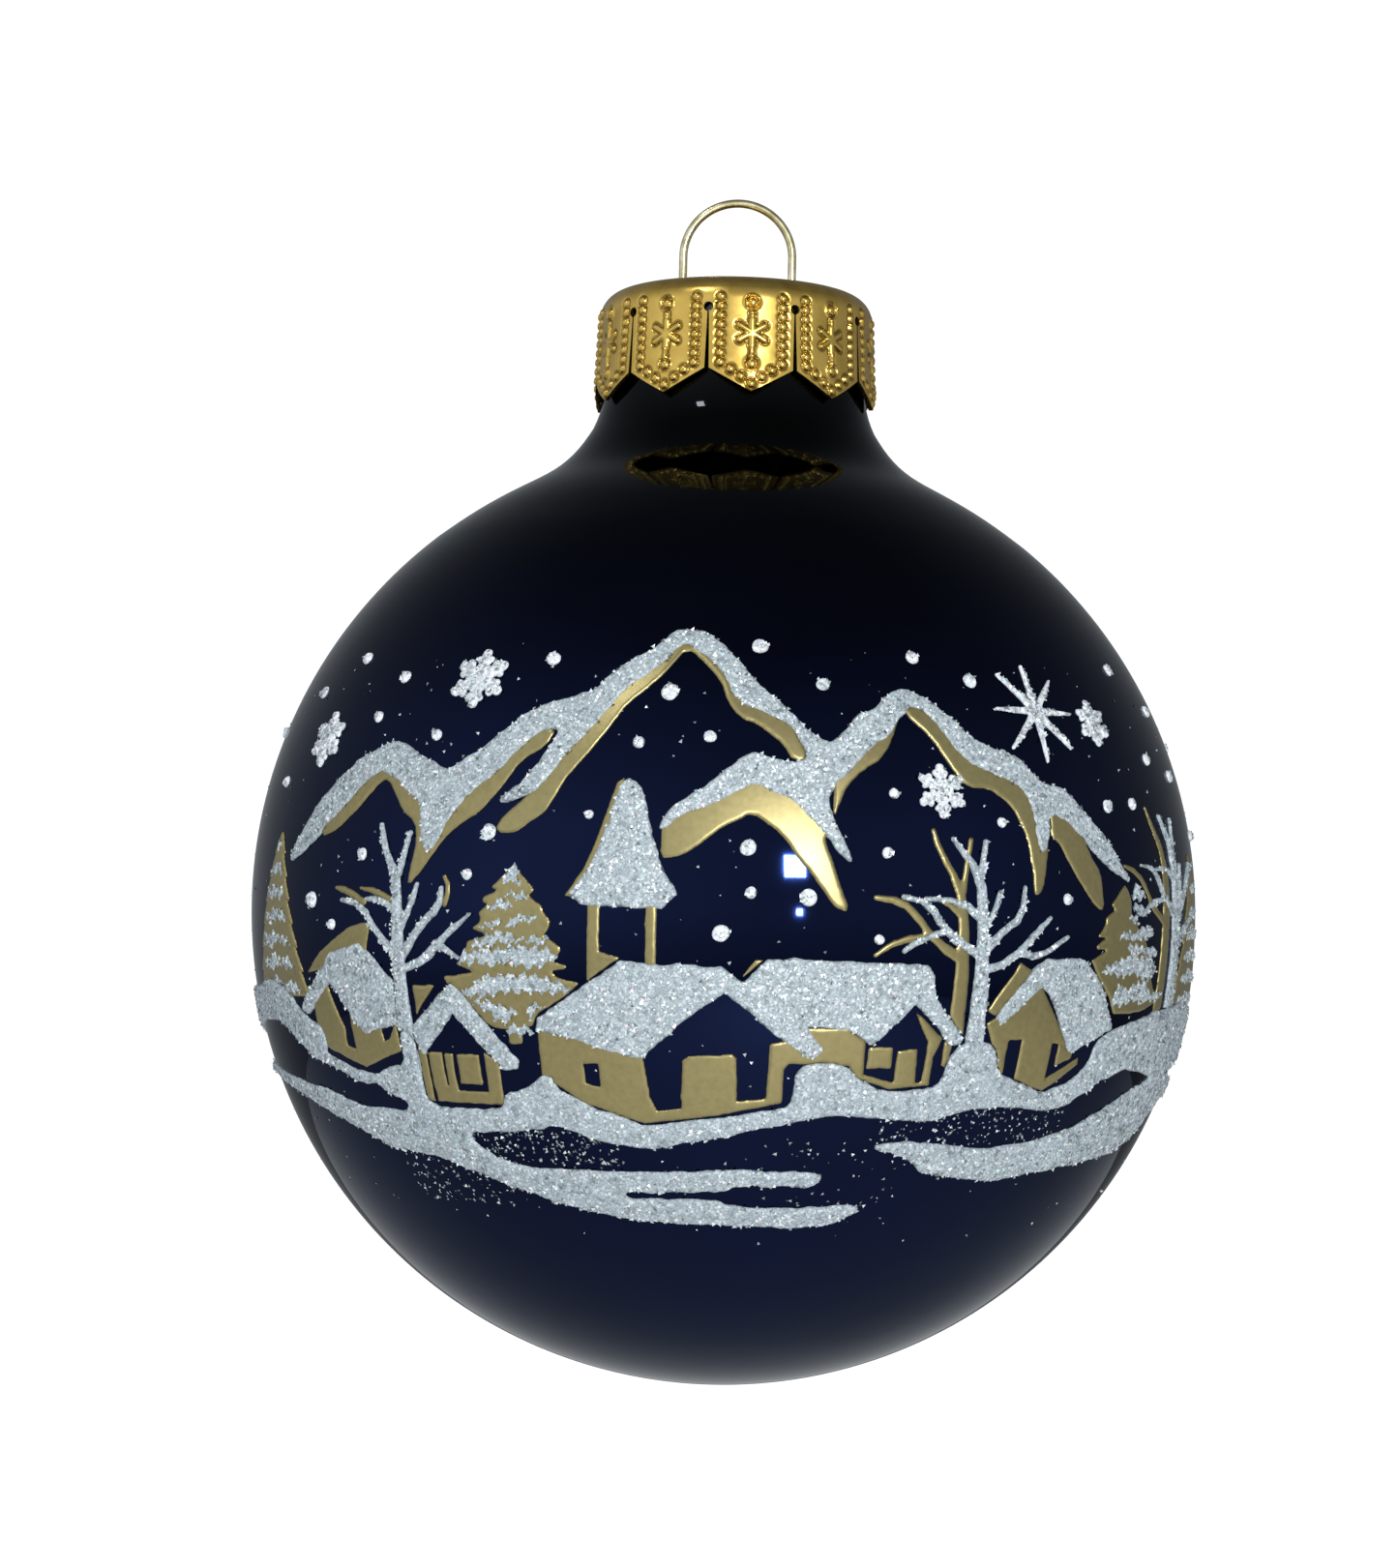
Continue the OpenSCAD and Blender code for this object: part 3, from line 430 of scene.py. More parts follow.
def stamp(x, z):
    """Height of the stamping on a petal, and how deep in its sunk lines each point is, which darkens
    the metal's colour there as painted shade: domes for the beads, round-backed bars for the flake
    and its stem, two thin rings, and a bell-shaped sunk line 0.09 mm outside each bead and bar. x is
    mm across, z mm above the ball's centre."""
    # down both sides, along the V and at its tip: x, z, radius
    beads = [(s * 2.2, 42.5 - 0.66 * i, 0.3) for s in (-1, 1) for i in range(8)]
    beads += [(s * 1.47, 37.42, 0.3) for s in (-1, 1)]
    beads += [(s * 0.74, 36.92, 0.28) for s in (-1, 1)]
    beads += [(0, 36.42, 0.3)]
    beads += [(0, 42.1, 0.33), (0, 41.35, 0.2), (0, 38.35, 0.2), (0, 37.82, 0.33)]  # bosses
    reach = np.full(x.shape, FAR)
    high = np.zeros(x.shape)
    for bx, bz, br in beads:
        away = np.hypot(x - bx, z - bz)
        reach = np.minimum(reach, away - br)
        high = np.maximum(high, BEAD_HEIGHT * np.sqrt(np.clip(1 - (away / br) ** 2, 0, 1)))
    bars = [(0, 41.2, 0, 38.5, 0.13)]  # the stem, then the flake's arms: from, to, half the width
    bars += [(0, 40, 1.05 * cos(radians(a)), 40 + 1.05 * sin(radians(a)), 0.21)
             for a in (30, 150, 210, 330)]
    bars += [(0, 40.9, 0, 39.1, 0.22)]
    for x0, z0, x1, z1, half in bars:
        share = np.clip(((x - x0) * (x1 - x0) + (z - z0) * (z1 - z0))
                        / ((x1 - x0) ** 2 + (z1 - z0) ** 2), 0, 1)
        away = np.hypot(x - x0 - share * (x1 - x0), z - z0 - share * (z1 - z0))
        reach = np.minimum(reach, away - half)
        high = np.maximum(high, BAR_HEIGHT * np.sqrt(np.clip(1 - (away / half) ** 2, 0, 1)))
    for bz, ring in ((42.1, 0.55), (37.82, 0.5)):
        away = np.abs(np.hypot(x, z - bz) - ring)
        high = np.maximum(high, RING_HEIGHT * np.exp(-((away / GROOVE) ** 2)))
    sunk = np.exp(-(((reach - 0.09) / GROOVE) ** 2))
    # the second value is painted shade, darkening the colour in the sunk lines
    return high - GROOVE * sunk, 0.8 * sunk


def cap_petals(chosen):
    """Petals as grids, across by down. The foot rises from its tip by the distance from the middle
    to the power 1.05. The sides leave a slit, 0.05 mm at its top and 0.025 more for each mm down,
    that ends in a small round hole. The sheet bends over with the plate, flares 0.3 mm by the way
    down to the power 1.2, and carries the stamping, which dies out at the edges."""
    wide, tall = 76, 104
    across, down = np.linspace(-1, 1, wide), np.linspace(0, 1, tall)[:, None]
    edge_z = STAMP_TOP + down * (SIDE_FOOT - STAMP_TOP)
    slit = np.where(edge_z < SLIT_TOP, 0.05 + 0.025 * (SLIT_TOP - edge_z), 0)
    slit = np.maximum(slit, np.sqrt(np.clip(SLIT_HOLE ** 2 - (edge_z - SLIT_TOP) ** 2, 0, 1)))
    half_turn = pi / PETALS
    a = across * (half_turn - slit / SKIRT_R)
    foot = TIP + (SIDE_FOOT - TIP) * np.abs(across) ** 1.05
    z = STAMP_TOP + down * (foot - STAMP_TOP)
    bend_z = CAP_TOP - ROUND
    r = PLATE_R + np.sqrt(ROUND ** 2 - np.clip(z - bend_z, 0, ROUND) ** 2)
    r = r + 0.3 * (np.clip(bend_z - z, 0, 9) / (bend_z - TIP)) ** 1.2
    height, sunk = stamp(a * r, z)
    sides = (1 - np.abs(across)) * half_turn * SKIRT_R
    height = height * np.clip(sides / 0.15, 0, 1) * np.clip((STAMP_TOP - z) / 0.1, 0, 1)
    height = height * np.clip((z - foot) / 0.15, 0, 1)
    outer, inner, faces, groove_shades = [], [], [], []
    for k in chosen:
        turn = radians(FIRST_PETAL) + k * 2 * half_turn + a
        for skin, out in ((outer, r + height), (inner, r + height - SHEET)):
            skin.append(np.stack([out * np.sin(turn), -out * np.cos(turn), z], 2).reshape(-1, 3))
        faces.append(quads(tall, wide, False) + (len(outer) - 1) * a.size)
        groove_shades.append(sunk.ravel())
    outer, inner = np.concatenate(outer), np.concatenate(inner)
    kept, triangles = welded(np.concatenate([outer, inner], 1), np.concatenate(faces)[:, ::-1])
    points, triangles = closed(outer[kept], inner[kept], triangles)
    return points, triangles, np.tile(np.concatenate(groove_shades)[kept], 2)


for name, (points, triangles, groove_shade), stands_for in (
        ("cap_plate", cap_plate(), ("crown_cap",)),
        ("cap_petals_front", cap_petals(range(-2, 3)), ()),
        ("cap_petals_back", cap_petals(range(3, 8)), ())):
    piece(name, points, triangles, brass, "cap", "cap_metal", stands_for, {"groove_shade": ("POINT", groove_shade)})


# ---------- hanger ----------
def wire_path():
    """Half the wire's middle line as (x, z), foot to crown: a straight foot leaning out by 25
    degrees, a bend, a straight leg and a quarter circle. The bend takes its radius times the
    tangent of half the lean off the foot and off the leg."""
    lean, bend_r, corner, foot_length = radians(25), 1.0, CAP_TOP - SHEET - 0.5, 9.3
    cut = bend_r * tan(lean / 2)
    foot = np.linspace(foot_length, cut, 12)[:-1]
    x, z = [LOOP_R + foot * sin(lean)], [corner - foot * cos(lean)]
    turn = np.linspace(lean, 0, 8)
    x.append(LOOP_R + bend_r * (1 - np.cos(turn)))
    z.append(corner + cut - bend_r * np.sin(turn))
    x.append(np.full(12, LOOP_R))
    z.append(np.linspace(corner + cut, LOOP_Z, 14)[1:-1])
    arch = np.linspace(0, pi / 2, 36)
    x.append(LOOP_R * np.cos(arch))
    z.append(LOOP_Z + LOOP_R * np.sin(arch))
    return np.stack([np.concatenate(x), np.concatenate(z)], 1)


def wire_tube():
    """A circle carried along the whole wire, shrinking to a point over each round end."""
    half = wire_path()
    path = np.concatenate([half, half[-2::-1] * (-1, 1)])
    way = np.gradient(path, axis=0)
    way /= np.linalg.norm(way, axis=1)[:, None]
    end = np.linspace(pi / 2, 0, 6)[:-1]  # five rings round off each end
    radius = np.concatenate([WIRE * np.cos(end), np.full(len(path), WIRE), WIRE * np.cos(end[::-1])])
    radius[0] = radius[-1] = 0
    path = np.concatenate([path[0] - way[0] * WIRE * np.sin(end)[:, None], path,
                           path[-1] + way[-1] * WIRE * np.sin(end[::-1])[:, None]])
    way = np.concatenate([np.tile(way[0], (5, 1)), way, np.tile(way[-1], (5, 1))])
    steps = 20
    a = np.arange(steps) * 2 * pi / steps
    across = np.stack([way[:, 1], 0 * way[:, 0], -way[:, 0]], 1)
    middle = np.stack([path[:, 0], 0 * path[:, 0], path[:, 1]], 1)
    ring = across[:, None] * np.cos(a)[:, None] + np.array([0, 1, 0]) * np.sin(a)[:, None]
    points = (middle[:, None] + ring * radius[:, None, None]).reshape(-1, 3)
    kept, triangles = welded(points, quads(len(path), steps, True))
    return points[kept], triangles


piece("bent_wire", *wire_tube(), drawn_wire(), "hanger", "wire", ("wire_hanger",))


# ---------- print: shapes on the (u, v) sheet ----------
WING = SCENE / 2  # middle of the stretch between two scenes
SNOW_THICK, SNOW_GRAIN = 0.3, 0.05
GOLD_THICK, GOLD_CELL, GOLD_FRAY = 0.12, 0.13, 0.06
SOFT_EDGE = 0.225  # width of the print's rounded edge
settled = []  # where snow lies: (u, v, height) for the loose glitter


def ragged(u, v, size, seed):
    """Smooth random numbers from -1 to 1 in lumps of about the given size: random values on a
    coarse lattice, eased between by three times the square less twice the cube of the way
    across. The lattice repeats with the scene, so that its ends meet."""
    across, up = round(SCENE / size), 512
    table = np.random.default_rng(seed).uniform(-1, 1, (across, up))
    x, y = u * across / SCENE, v / size
    i, j = np.floor(x).astype(int), np.floor(y).astype(int)
    x, y = x - i, y - j
    x, y = x * x * (3 - 2 * x), y * y * (3 - 2 * y)

    def corner(a, b):
        return table[(i + a) % across, (j + b) % up]

    return ((corner(0, 0) * (1 - x) + corner(1, 0) * x) * (1 - y)
            + (corner(0, 1) * (1 - x) + corner(1, 1) * x) * y)


def inside(u, v, outline):
    """How far in mm each point lies inside a closed outline, negative outside it. The nearest side
    gives the distance; an odd number of sides crossed on the way right means inside."""
    p = np.array(outline, float)
    depth = np.full(u.shape, -FAR)
    low, high = p.min(0) - 1, p.max(0) + 1
    near = (u > low[0]) & (u < high[0]) & (v > low[1]) & (v < high[1])
    x, y = u[near], v[near]
    best, odd = np.full(x.shape, FAR ** 2), np.zeros(x.shape, bool)
    for (ax, ay), (bx, by) in zip(p, np.roll(p, -1, 0)):
        way = max((bx - ax) ** 2 + (by - ay) ** 2, 1e-9)
        t = np.clip(((x - ax) * (bx - ax) + (y - ay) * (by - ay)) / way, 0, 1)
        best = np.minimum(best, (x - ax - t * (bx - ax)) ** 2 + (y - ay - t * (by - ay)) ** 2)
        if ay != by:
            odd ^= ((ay > y) != (by > y)) & (x < ax + (y - ay) * (bx - ax) / (by - ay))
    depth[near] = np.where(odd, 1, -1) * np.sqrt(best)
    return depth


def within(u, v, outlines):
    """Depth inside any of several outlines."""
    return np.maximum.reduce([inside(u, v, outline) for outline in outlines])


def along(u, v, branches, squeeze=1.0):
    """Depth inside tapering round-ended branches given as [u, v, width] points: half the width
    there less the distance from the middle line. squeeze is how much narrower the ball makes the
    sheet at that height."""
    depth = np.full(u.shape, -FAR)
    for branch in branches:
        for (ax, ay, aw), (bx, by, bw) in zip(branch, branch[1:]):
            dx, dy = (bx - ax) * squeeze, by - ay
            x, y = (u - ax) * squeeze, v - ay
            t = np.clip((x * dx + y * dy) / max(dx * dx + dy * dy, 1e-9), 0, 1)
            depth = np.maximum(depth, (aw + t * (bw - aw)) / 2 - np.hypot(x - t * dx, y - t * dy))
    return depth


def less(depth, *cutters):
    """A shape with others taken out of it."""
    return np.minimum.reduce([depth, *[-c for c in cutters]])


def cut_out(points, triangles):
    """Keeps the part of a triangulated sheet where the third column, the depth, is positive. A
    triangle across the edge is cut where the depth passes zero, at points its neighbours share,
    and never closer to a corner than 0.06 of the side."""
    depth = points[:, 2]
    kept = depth > 0
    count = kept[triangles].sum(1)
    parts, cuts = [triangles[count == 3]], []
    for number in (1, 2):
        chosen = triangles[count == number]
        odd = (kept[chosen] == (number == 1)).argmax(1)
        chosen = np.take_along_axis(chosen, (odd[:, None] + np.arange(3)) % 3, 1)
        cuts.append(chosen)
    ends = np.concatenate([c[:, (0, k)] for c in cuts for k in (1, 2)])
    ends.sort(1)
    sides, which = np.unique(ends, axis=0, return_inverse=True)
    which = which.ravel() + len(points)
    a, b = points[sides[:, 0]], points[sides[:, 1]]
    share = np.clip(a[:, 2] / (a[:, 2] - b[:, 2]), 0.06, 0.94)[:, None]
    new = a + (b - a) * share
    new[:, 2] = 0
    one, two = cuts
    n1, n2 = len(one), len(two)
    ab1, ac1 = which[:n1], which[n1 : 2 * n1]
    ab2, ac2 = which[2 * n1 : 2 * n1 + n2], which[2 * n1 + n2 :]
    parts.append(np.stack([one[:, 0], ab1, ac1], 1))
    parts.append(np.stack([ab2, two[:, 1], two[:, 2]], 1))
    parts.append(np.stack([ab2, two[:, 2], ac2], 1))
    triangles = np.concatenate(parts)
    used, triangles = np.unique(triangles, return_inverse=True)
    return np.concatenate([points, new])[used], triangles.reshape(-1, 3)


def on_ball(u, v, lift):
    """Points of the sheet wrapped on the ball and lifted off the lacquer: u over the ball's radius
    is the angle round from the front, v over it the angle up from the equator."""
    r = R + lift
    return np.stack([r * np.cos(v / R) * np.sin(u / R), -r * np.cos(v / R) * np.cos(u / R),
                     r * np.sin(v / R)], 1)


def printed(name, shape, window, cell, thick, material, slot, fray, grain, stands_for):
    """Prints a shape on both sides of the ball as a closed raised skin. Two sizes of lumps fray its
    outline. Its top swells from a low edge to full thickness as a quarter round, and carries lumps
    and grain. Loose glitter may settle on snow from 0.08 mm inside the outline. A sheet as long as
    the scene has its two ends made alike, so that they weld."""
    u0, u1, v0, v1 = window
    columns, rows = round((u1 - u0) / cell) + 1, round((v1 - v0) / cell) + 1
    u, v = np.meshgrid(np.linspace(u0, u1, columns), np.linspace(v0, v1, rows))
    u, v = u.ravel(), v.ravel()
    depth = shape(u, v) + fray * (0.6 * ragged(u, v, 0.9, 11) + 0.4 * ragged(u, v, 0.35, 12))
    grid = depth.reshape(rows, columns)
    if u1 - u0 > SCENE - 0.01:
        grid[:, -1] = grid[:, 0]
    points, triangles = cut_out(np.stack([u, v, depth], 1), quads(rows, columns, False))
    u, v, depth = points.T
    swell = np.sqrt(1 - (1 - np.clip(depth / SOFT_EDGE, 0, 1)) ** 2)
    rng = np.random.default_rng(len(name))
    lumps = grain * (0.5 * ragged(u, v, 0.6, 13) + rng.uniform(-1, 1, len(u)))
    lift = EDGE + (thick - EDGE - grain * 1.5) * swell + lumps * np.clip(depth / 0.25, 0, 1)
    if grain:
        settled.append(np.stack([u, v, lift], 1)[depth > 0.08])
    outer = np.concatenate([on_ball(u + side * SCENE, v, lift) for side in (0, 1)])
    inner = np.concatenate([on_ball(u + side * SCENE, v, 0 * u - EDGE) for side in (0, 1)])
    triangles = np.concatenate([triangles, triangles + len(u)])
    kept, triangles = welded(inner, triangles)
    points, triangles = closed(outer[kept], inner[kept], triangles)
    piece(name, points, triangles, material, "ball", slot, stands_for)


# ---------- print: the village ----------
mountain = [
    [-35, 2.6], [-34.5, 3.5], [-32, 6.4], [-30, 8], [-28, 9.4], [-26.5, 10.1], [-25, 10.6], [-24, 10.6],
    [-23, 10.2], [-21.5, 9.5], [-19.5, 8.7], [-19, 8.8], [-17, 10.1], [-15, 11.7], [-14, 12.5],
    [-12, 13.4], [-10, 13.9], [-9.2, 14.2], [-8.5, 15], [-7, 16.3], [-5.5, 17.1], [-4.4, 18.1],
    [-4, 18.6], [-3.5, 18.7], [-1.5, 18.5], [0, 17.2], [2, 14.9], [4, 13.1], [5.5, 11.6], [6.6, 10.8],
    [7.2, 10.9], [8.3, 12.2], [8.8, 12.7], [10, 13.1], [11.2, 14.2], [12, 14.7], [13, 14.7], [14.5, 14],
    [16, 12.7], [17, 11.8], [18, 11.1], [20, 10.6], [21, 10.3], [22, 9.2], [23, 8.6], [24, 8.6],
    [25, 8.3], [26, 7.2], [28, 5.6], [29.5, 4], [30.8, 2.6], [30.7, 2.4], [29, 3.1], [27.3, 4],
    [25, 5.8], [23, 6.8], [22.7, 5.5], [22.4, 4.3], [21.9, 4.1], [21.6, 4.3], [21.5, 6.3], [20.9, 7.9],
    [20.4, 8.4], [18.5, 9.1], [16.5, 9.8], [15.4, 11], [14.2, 12.9], [13.3, 13.5], [12.4, 13.1],
    [11.3, 11.7], [9.8, 10.6], [8.8, 9.8], [8, 8.8], [7, 7.9], [6.5, 6.8], [6.9, 5.9], [7.8, 4.2],
    [8.2, 2.9], [7.3, 3.6], [6.2, 4.9], [5.2, 6], [4.2, 7], [2.8, 7.4], [1.8, 8], [0, 7], [-1, 6.4],
    [-2.7, 5.8], [-3.6, 5], [-4, 4.8], [-4.2, 5.1], [-3.3, 6.6], [-1.5, 7.6], [0, 8.9], [1.2, 9.8],
    [2, 10], [3.5, 9.5], [4.8, 9.4], [5.4, 9.9], [4.6, 11.2], [4, 11.9], [2, 12.8], [0.7, 13.4],
    [0, 14.6], [-0.5, 15.7], [-1.6, 16.6], [-2.9, 17.4], [-3.4, 17.4], [-4.7, 16], [-6, 14.9],
    [-7.2, 14], [-8.2, 12.6], [-9.2, 11.2], [-10.6, 9.7], [-11.2, 8.6], [-12, 7.6], [-13.2, 6.8],
    [-15.3, 6.4], [-14, 7.5], [-12.7, 8.8], [-11.9, 10.2], [-11.3, 11.3], [-12.2, 11.4], [-13.4, 10.6],
    [-14.5, 9.3], [-16, 8], [-17.8, 6.5], [-18.6, 5.4], [-19.3, 3.8], [-20.3, 3.1], [-20.9, 5],
    [-21.3, 6.6], [-22.6, 7.2], [-23.8, 8.1], [-25, 8.5], [-25.8, 8.4], [-27.2, 7.4], [-29, 5.8],
    [-31, 4.5], [-33, 3.2], [-35, 2.5]]
mountain_sides = [
    [[-31, 4.2], [-29, 4.7], [-27, 6.2], [-25.2, 7.9], [-24.6, 8.1], [-23.5, 6.9], [-22.7, 5.9],
     [-21.4, 5.2], [-21.1, 4], [-21.5, 2], [-21.6, 1], [-20.2, 2.4], [-19, 4], [-18, 4.9], [-16.3, 5.9],
     [-15, 7.4], [-13.7, 9.4], [-12.2, 10.1], [-11.5, 11.5], [-15, 11], [-19, 8], [-25, 10], [-31, 6]],
    [[-15, 5.2], [-14.9, 4.5], [-13.8, 4.5], [-12, 5.6], [-11.4, 6.3], [-10.6, 7.9], [-9.3, 9.5],
     [-8, 11.3], [-6.8, 13.2], [-5.2, 14.5], [-3.8, 16.2], [-3, 17.2], [-2, 16.5], [-0.5, 14.9],
     [0, 13.4], [0.8, 12.3], [2, 11.9], [3.7, 10.6], [4.4, 9.4], [5.4, 9.7], [4, 13], [0, 16],
     [-3, 18.2], [-8, 14], [-12, 8]],
    [[-4, 3.2], [-3.4, 3.1], [-2, 3.6], [-0.7, 4.8], [0.8, 5.6], [1.6, 6.1], [3.5, 4.9], [4.6, 3.4],
     [5.9, 1.8], [6.8, 0.5], [7.3, 0.1], [7.9, 0.1], [7.2, 2], [6.5, 4], [6.3, 4.8], [7, 5], [3, 8.5],
     [0, 8], [-4, 5.4]],
    [[12.4, 12.9], [13.8, 11.7], [15, 9.9], [15.9, 8.6], [16.5, 8.2], [18, 8.2], [19.7, 7.1],
     [20.7, 5.2], [21.1, 3], [21.1, 1.7], [21.3, 1.3], [21.9, 1.7], [22.2, 3], [22.6, 4.6], [22, 9],
     [15, 12.5], [13, 14], [12, 12.8], [11.2, 11.2], [10.3, 9.8], [9, 9.1], [7.8, 7.9], [7.1, 6.4],
     [6.9, 5.9], [7, 9], [10, 12], [12.4, 13.6]],
    [[22.9, 4.9], [23.4, 5.1], [24.3, 3.6], [25.7, 1.9], [27, 0.7], [27.8, 0.5], [27.6, 2], [27.5, 3],
     [26.4, 4.2], [26, 5.6], [23, 7.4]]]

roofs = [
    [[-6.7, 8], [-6.2, 8.2], [-5.7, 8], [-5.4, 7.6], [-4.6, 5], [-4, 3], [-3.6, 2.2], [-3, 1.4],
     [-2.8, 0.9], [-3.8, 0], [-9, 0.1], [-9.7, 0.9], [-9.2, 1.4], [-8.6, 2.3], [-7.8, 4.2], [-7, 6.8]],
    [[-12.2, -7.9], [-12, -7], [-10, -5.8], [-8, -4.4], [-6.4, -3.3], [-4, -3.4], [0, -3.5],
     [1.4, -4.5], [2.8, -2.9], [12.5, -3.1], [13.3, -3.2], [13.8, -3.8], [14, -5.2], [16.4, -7.8],
     [16.2, -8.3], [15.4, -8.2], [13.5, -6.3], [12.6, -5.7], [12.3, -6], [10, -8.3], [9.7, -8.3],
     [8.3, -7.3], [5.6, -7.2], [6.7, -8.6], [6.2, -9.2], [5.7, -9.1], [4.5, -8.5], [2.5, -6.9],
     [0.2, -5.1], [-2.5, -7.1], [-4.8, -9.2], [-5.3, -9.5], [-7.5, -9], [-10, -8.2]],
    [[21.2, -3.4], [22.5, -2.6], [26, -2.6], [28.3, -4.6], [30, -7.2], [28, -8], [26, -8.8],
     [25.5, -8.6], [23, -5], [22.2, -4.4], [20.4, -5.9], [19, -7.1], [18.5, -6.4]],
    [[-33.8, -7.3], [-33, -6.3], [-30, -4.1], [-29.3, -3.3], [-26, -2.6], [-23, -5], [-23, -7.9],
     [-26.3, -8.7], [-27.3, -7.8], [-28.8, -6], [-29.6, -5.3], [-31, -6.3], [-33, -7.6]],
    [[-22, -8.2], [-20, -6.5], [-18.2, -5], [-17.5, -5.5], [-13.5, -9.9], [-13.6, -10.5],
     [-14.7, -10.5], [-18.2, -7], [-21, -9.8]]]
walls = [
    [[-8.5, 0.5], [-8.5, -4.6], [-6.4, -3.1], [-7.7, -2.7], [-7.7, 0.5]],
    [[-4.8, 0.5], [-4.8, -3.6], [-4.1, -3.6], [-4.1, 0.5]],
    [[-12, -7.5], [-5, -9], [-4.6, -12], [-4.1, -12.9], [-2.5, -12.7], [-2.4, -9.5], [-2, -9.2],
     [0.8, -9], [1.1, -9.3], [1.2, -12.1], [3.1, -11.9], [3.2, -8.3], [4.5, -8], [5.6, -7.2],
     [8.3, -7.2], [9.5, -8], [9.5, -10.2], [11.7, -10.7], [11.7, -8.6], [13.1, -8.5], [13.3, -10.7],
     [13.7, -10.7], [13.8, -8], [12.4, -5.8], [14.8, -7.8], [14.3, -9], [14.3, -10.9], [11.5, -11.2],
     [9, -10.4], [8.5, -9.6], [4.5, -9.6], [4.2, -10], [4.2, -12.2], [0, -13.1], [-5, -13.8],
     [-9, -12.6], [-11.9, -10.8]],
    [[9.7, -8.4], [11.4, -8.4], [11.4, -9.8], [9.7, -9.8]],
    [[15, -8], [15.6, -8.2], [15.4, -9.8], [15, -9.6]],
    [[1.2, -4.2], [2.1, -3], [2.7, -3]],
    [[20.2, -2.9], [17.9, -6], [18.6, -6.4], [21.3, -3.4]],
    [[18, -6.8], [22, -4.2], [25.4, -8.3], [23.9, -8.1], [24, -10.5], [26.9, -9.1], [27, -9.6],
     [24, -11.4], [21.1, -10.6], [21.1, -7.9], [20, -7.9], [20, -10.2], [19.5, -9.9]],
    [[24.6, -8.2], [26.2, -8.6], [26, -9.2], [24.6, -9.7]],
    [[-32, -7], [-30, -5.4], [-28.6, -8.4], [-28.7, -9.5], [-27.7, -9.7], [-27.8, -7.2], [-24.6, -8],
     [-24.6, -9.1], [-24, -8.9], [-23.2, -7.6], [-23, -9.6], [-27, -10.95], [-32, -9.5]],
    [[-32.5, -4.8], [-30.5, -3.3], [-27, -1.6], [-24.9, -1.2], [-25.4, -3.2], [-30, -4.4]],
    [[-21.5, -8.4], [-20.8, -9.6], [-18.6, -9.6], [-18.6, -12.1], [-16.1, -12.1], [-16.1, -9.4],
     [-15, -10], [-15, -12.95], [-21.5, -12.95]],
    [[-18.3, -9.6], [-16.5, -9.6], [-16.5, -11.6], [-18.3, -11.6]],
    [[-21.3, -5.2], [-19.5, -5.2], [-21.2, -7.2]],
    [[-10, 0.7], [-9.5, 1.4], [-8.9, 2.3], [-8.1, 4.2], [-7.3, 6.8], [-7, 7.9], [-6.5, 8.3], [-6.4, 7],
     [-7, 4], [-8, 1.5], [-9, 0.5]]]
wall_gaps = [
    [[-9, -9.9], [-8, -9.9], [-7.9, -11.4], [-8.9, -11.2]],
    [[-20.85, -9.7], [-20.6, -9.7], [-20.6, -12.8], [-20.85, -12.8]],
    [[-19.5, -9.6], [-19.3, -9.6], [-19.3, -11.8], [-19.5, -11.8]]]
front_house = [[-22.2, -8.2], [-18.2, -5.2], [-13.5, -9.9], [-14, -10.8], [-22.2, -10.8]]

pine_near = [
    [-13.5, 2.6], [-13.25, 2.3], [-12, 0.95], [-12.5, 0.7], [-11.5, 0], [-11.5, -0.25], [-10.9, -0.95],
    [-11, -1.3], [-11.4, -1.95], [-10.8, -2.1], [-10.2, -2.6], [-10.3, -2.9], [-10.9, -3.4],
    [-9.8, -3.7], [-9.95, -3.9], [-11, -4], [-10.5, -4.45], [-9, -4.75], [-10, -5.6], [-12, -6.9],
    [-12.25, -7.6], [-13.1, -7.7], [-13.1, -8.8], [-14.1, -8.8], [-14.1, -7.9], [-15.1, -7.75],
    [-17.5, -6.6], [-18.7, -4.6], [-16.4, -4.25], [-17.7, -3.8], [-16.8, -2.6], [-16.8, -2.3],
    [-15.2, -1.9], [-16.5, -1.5], [-15.8, -1.05], [-16, -0.45], [-15.25, 0], [-15.7, 0.2],
    [-15.6, 0.5], [-14.6, 0.9], [-15.1, 1.1], [-14, 2.1]]
pine_far = [
    [30.2, 2.3], [30.6, 1.9], [31, 1.25], [31, 0.5], [32, -0.6], [33, -1.25], [33.6, -2.2],
    [34.6, -3], [34.3, -3.8], [35, -4.6], [36.3, -5.2], [34.2, -6], [32, -6.2], [29.9, -6.25],
    [29, -5.1], [28, -4.25], [27.1, -3.25], [26.6, -2.7], [28.2, -2.05], [27.2, -2], [27.1, -1.75],
    [28.2, -1.2], [27.2, -1.2], [28.1, -0.3], [28, 0.05], [29.1, 0.6], [28.6, 0.9]]
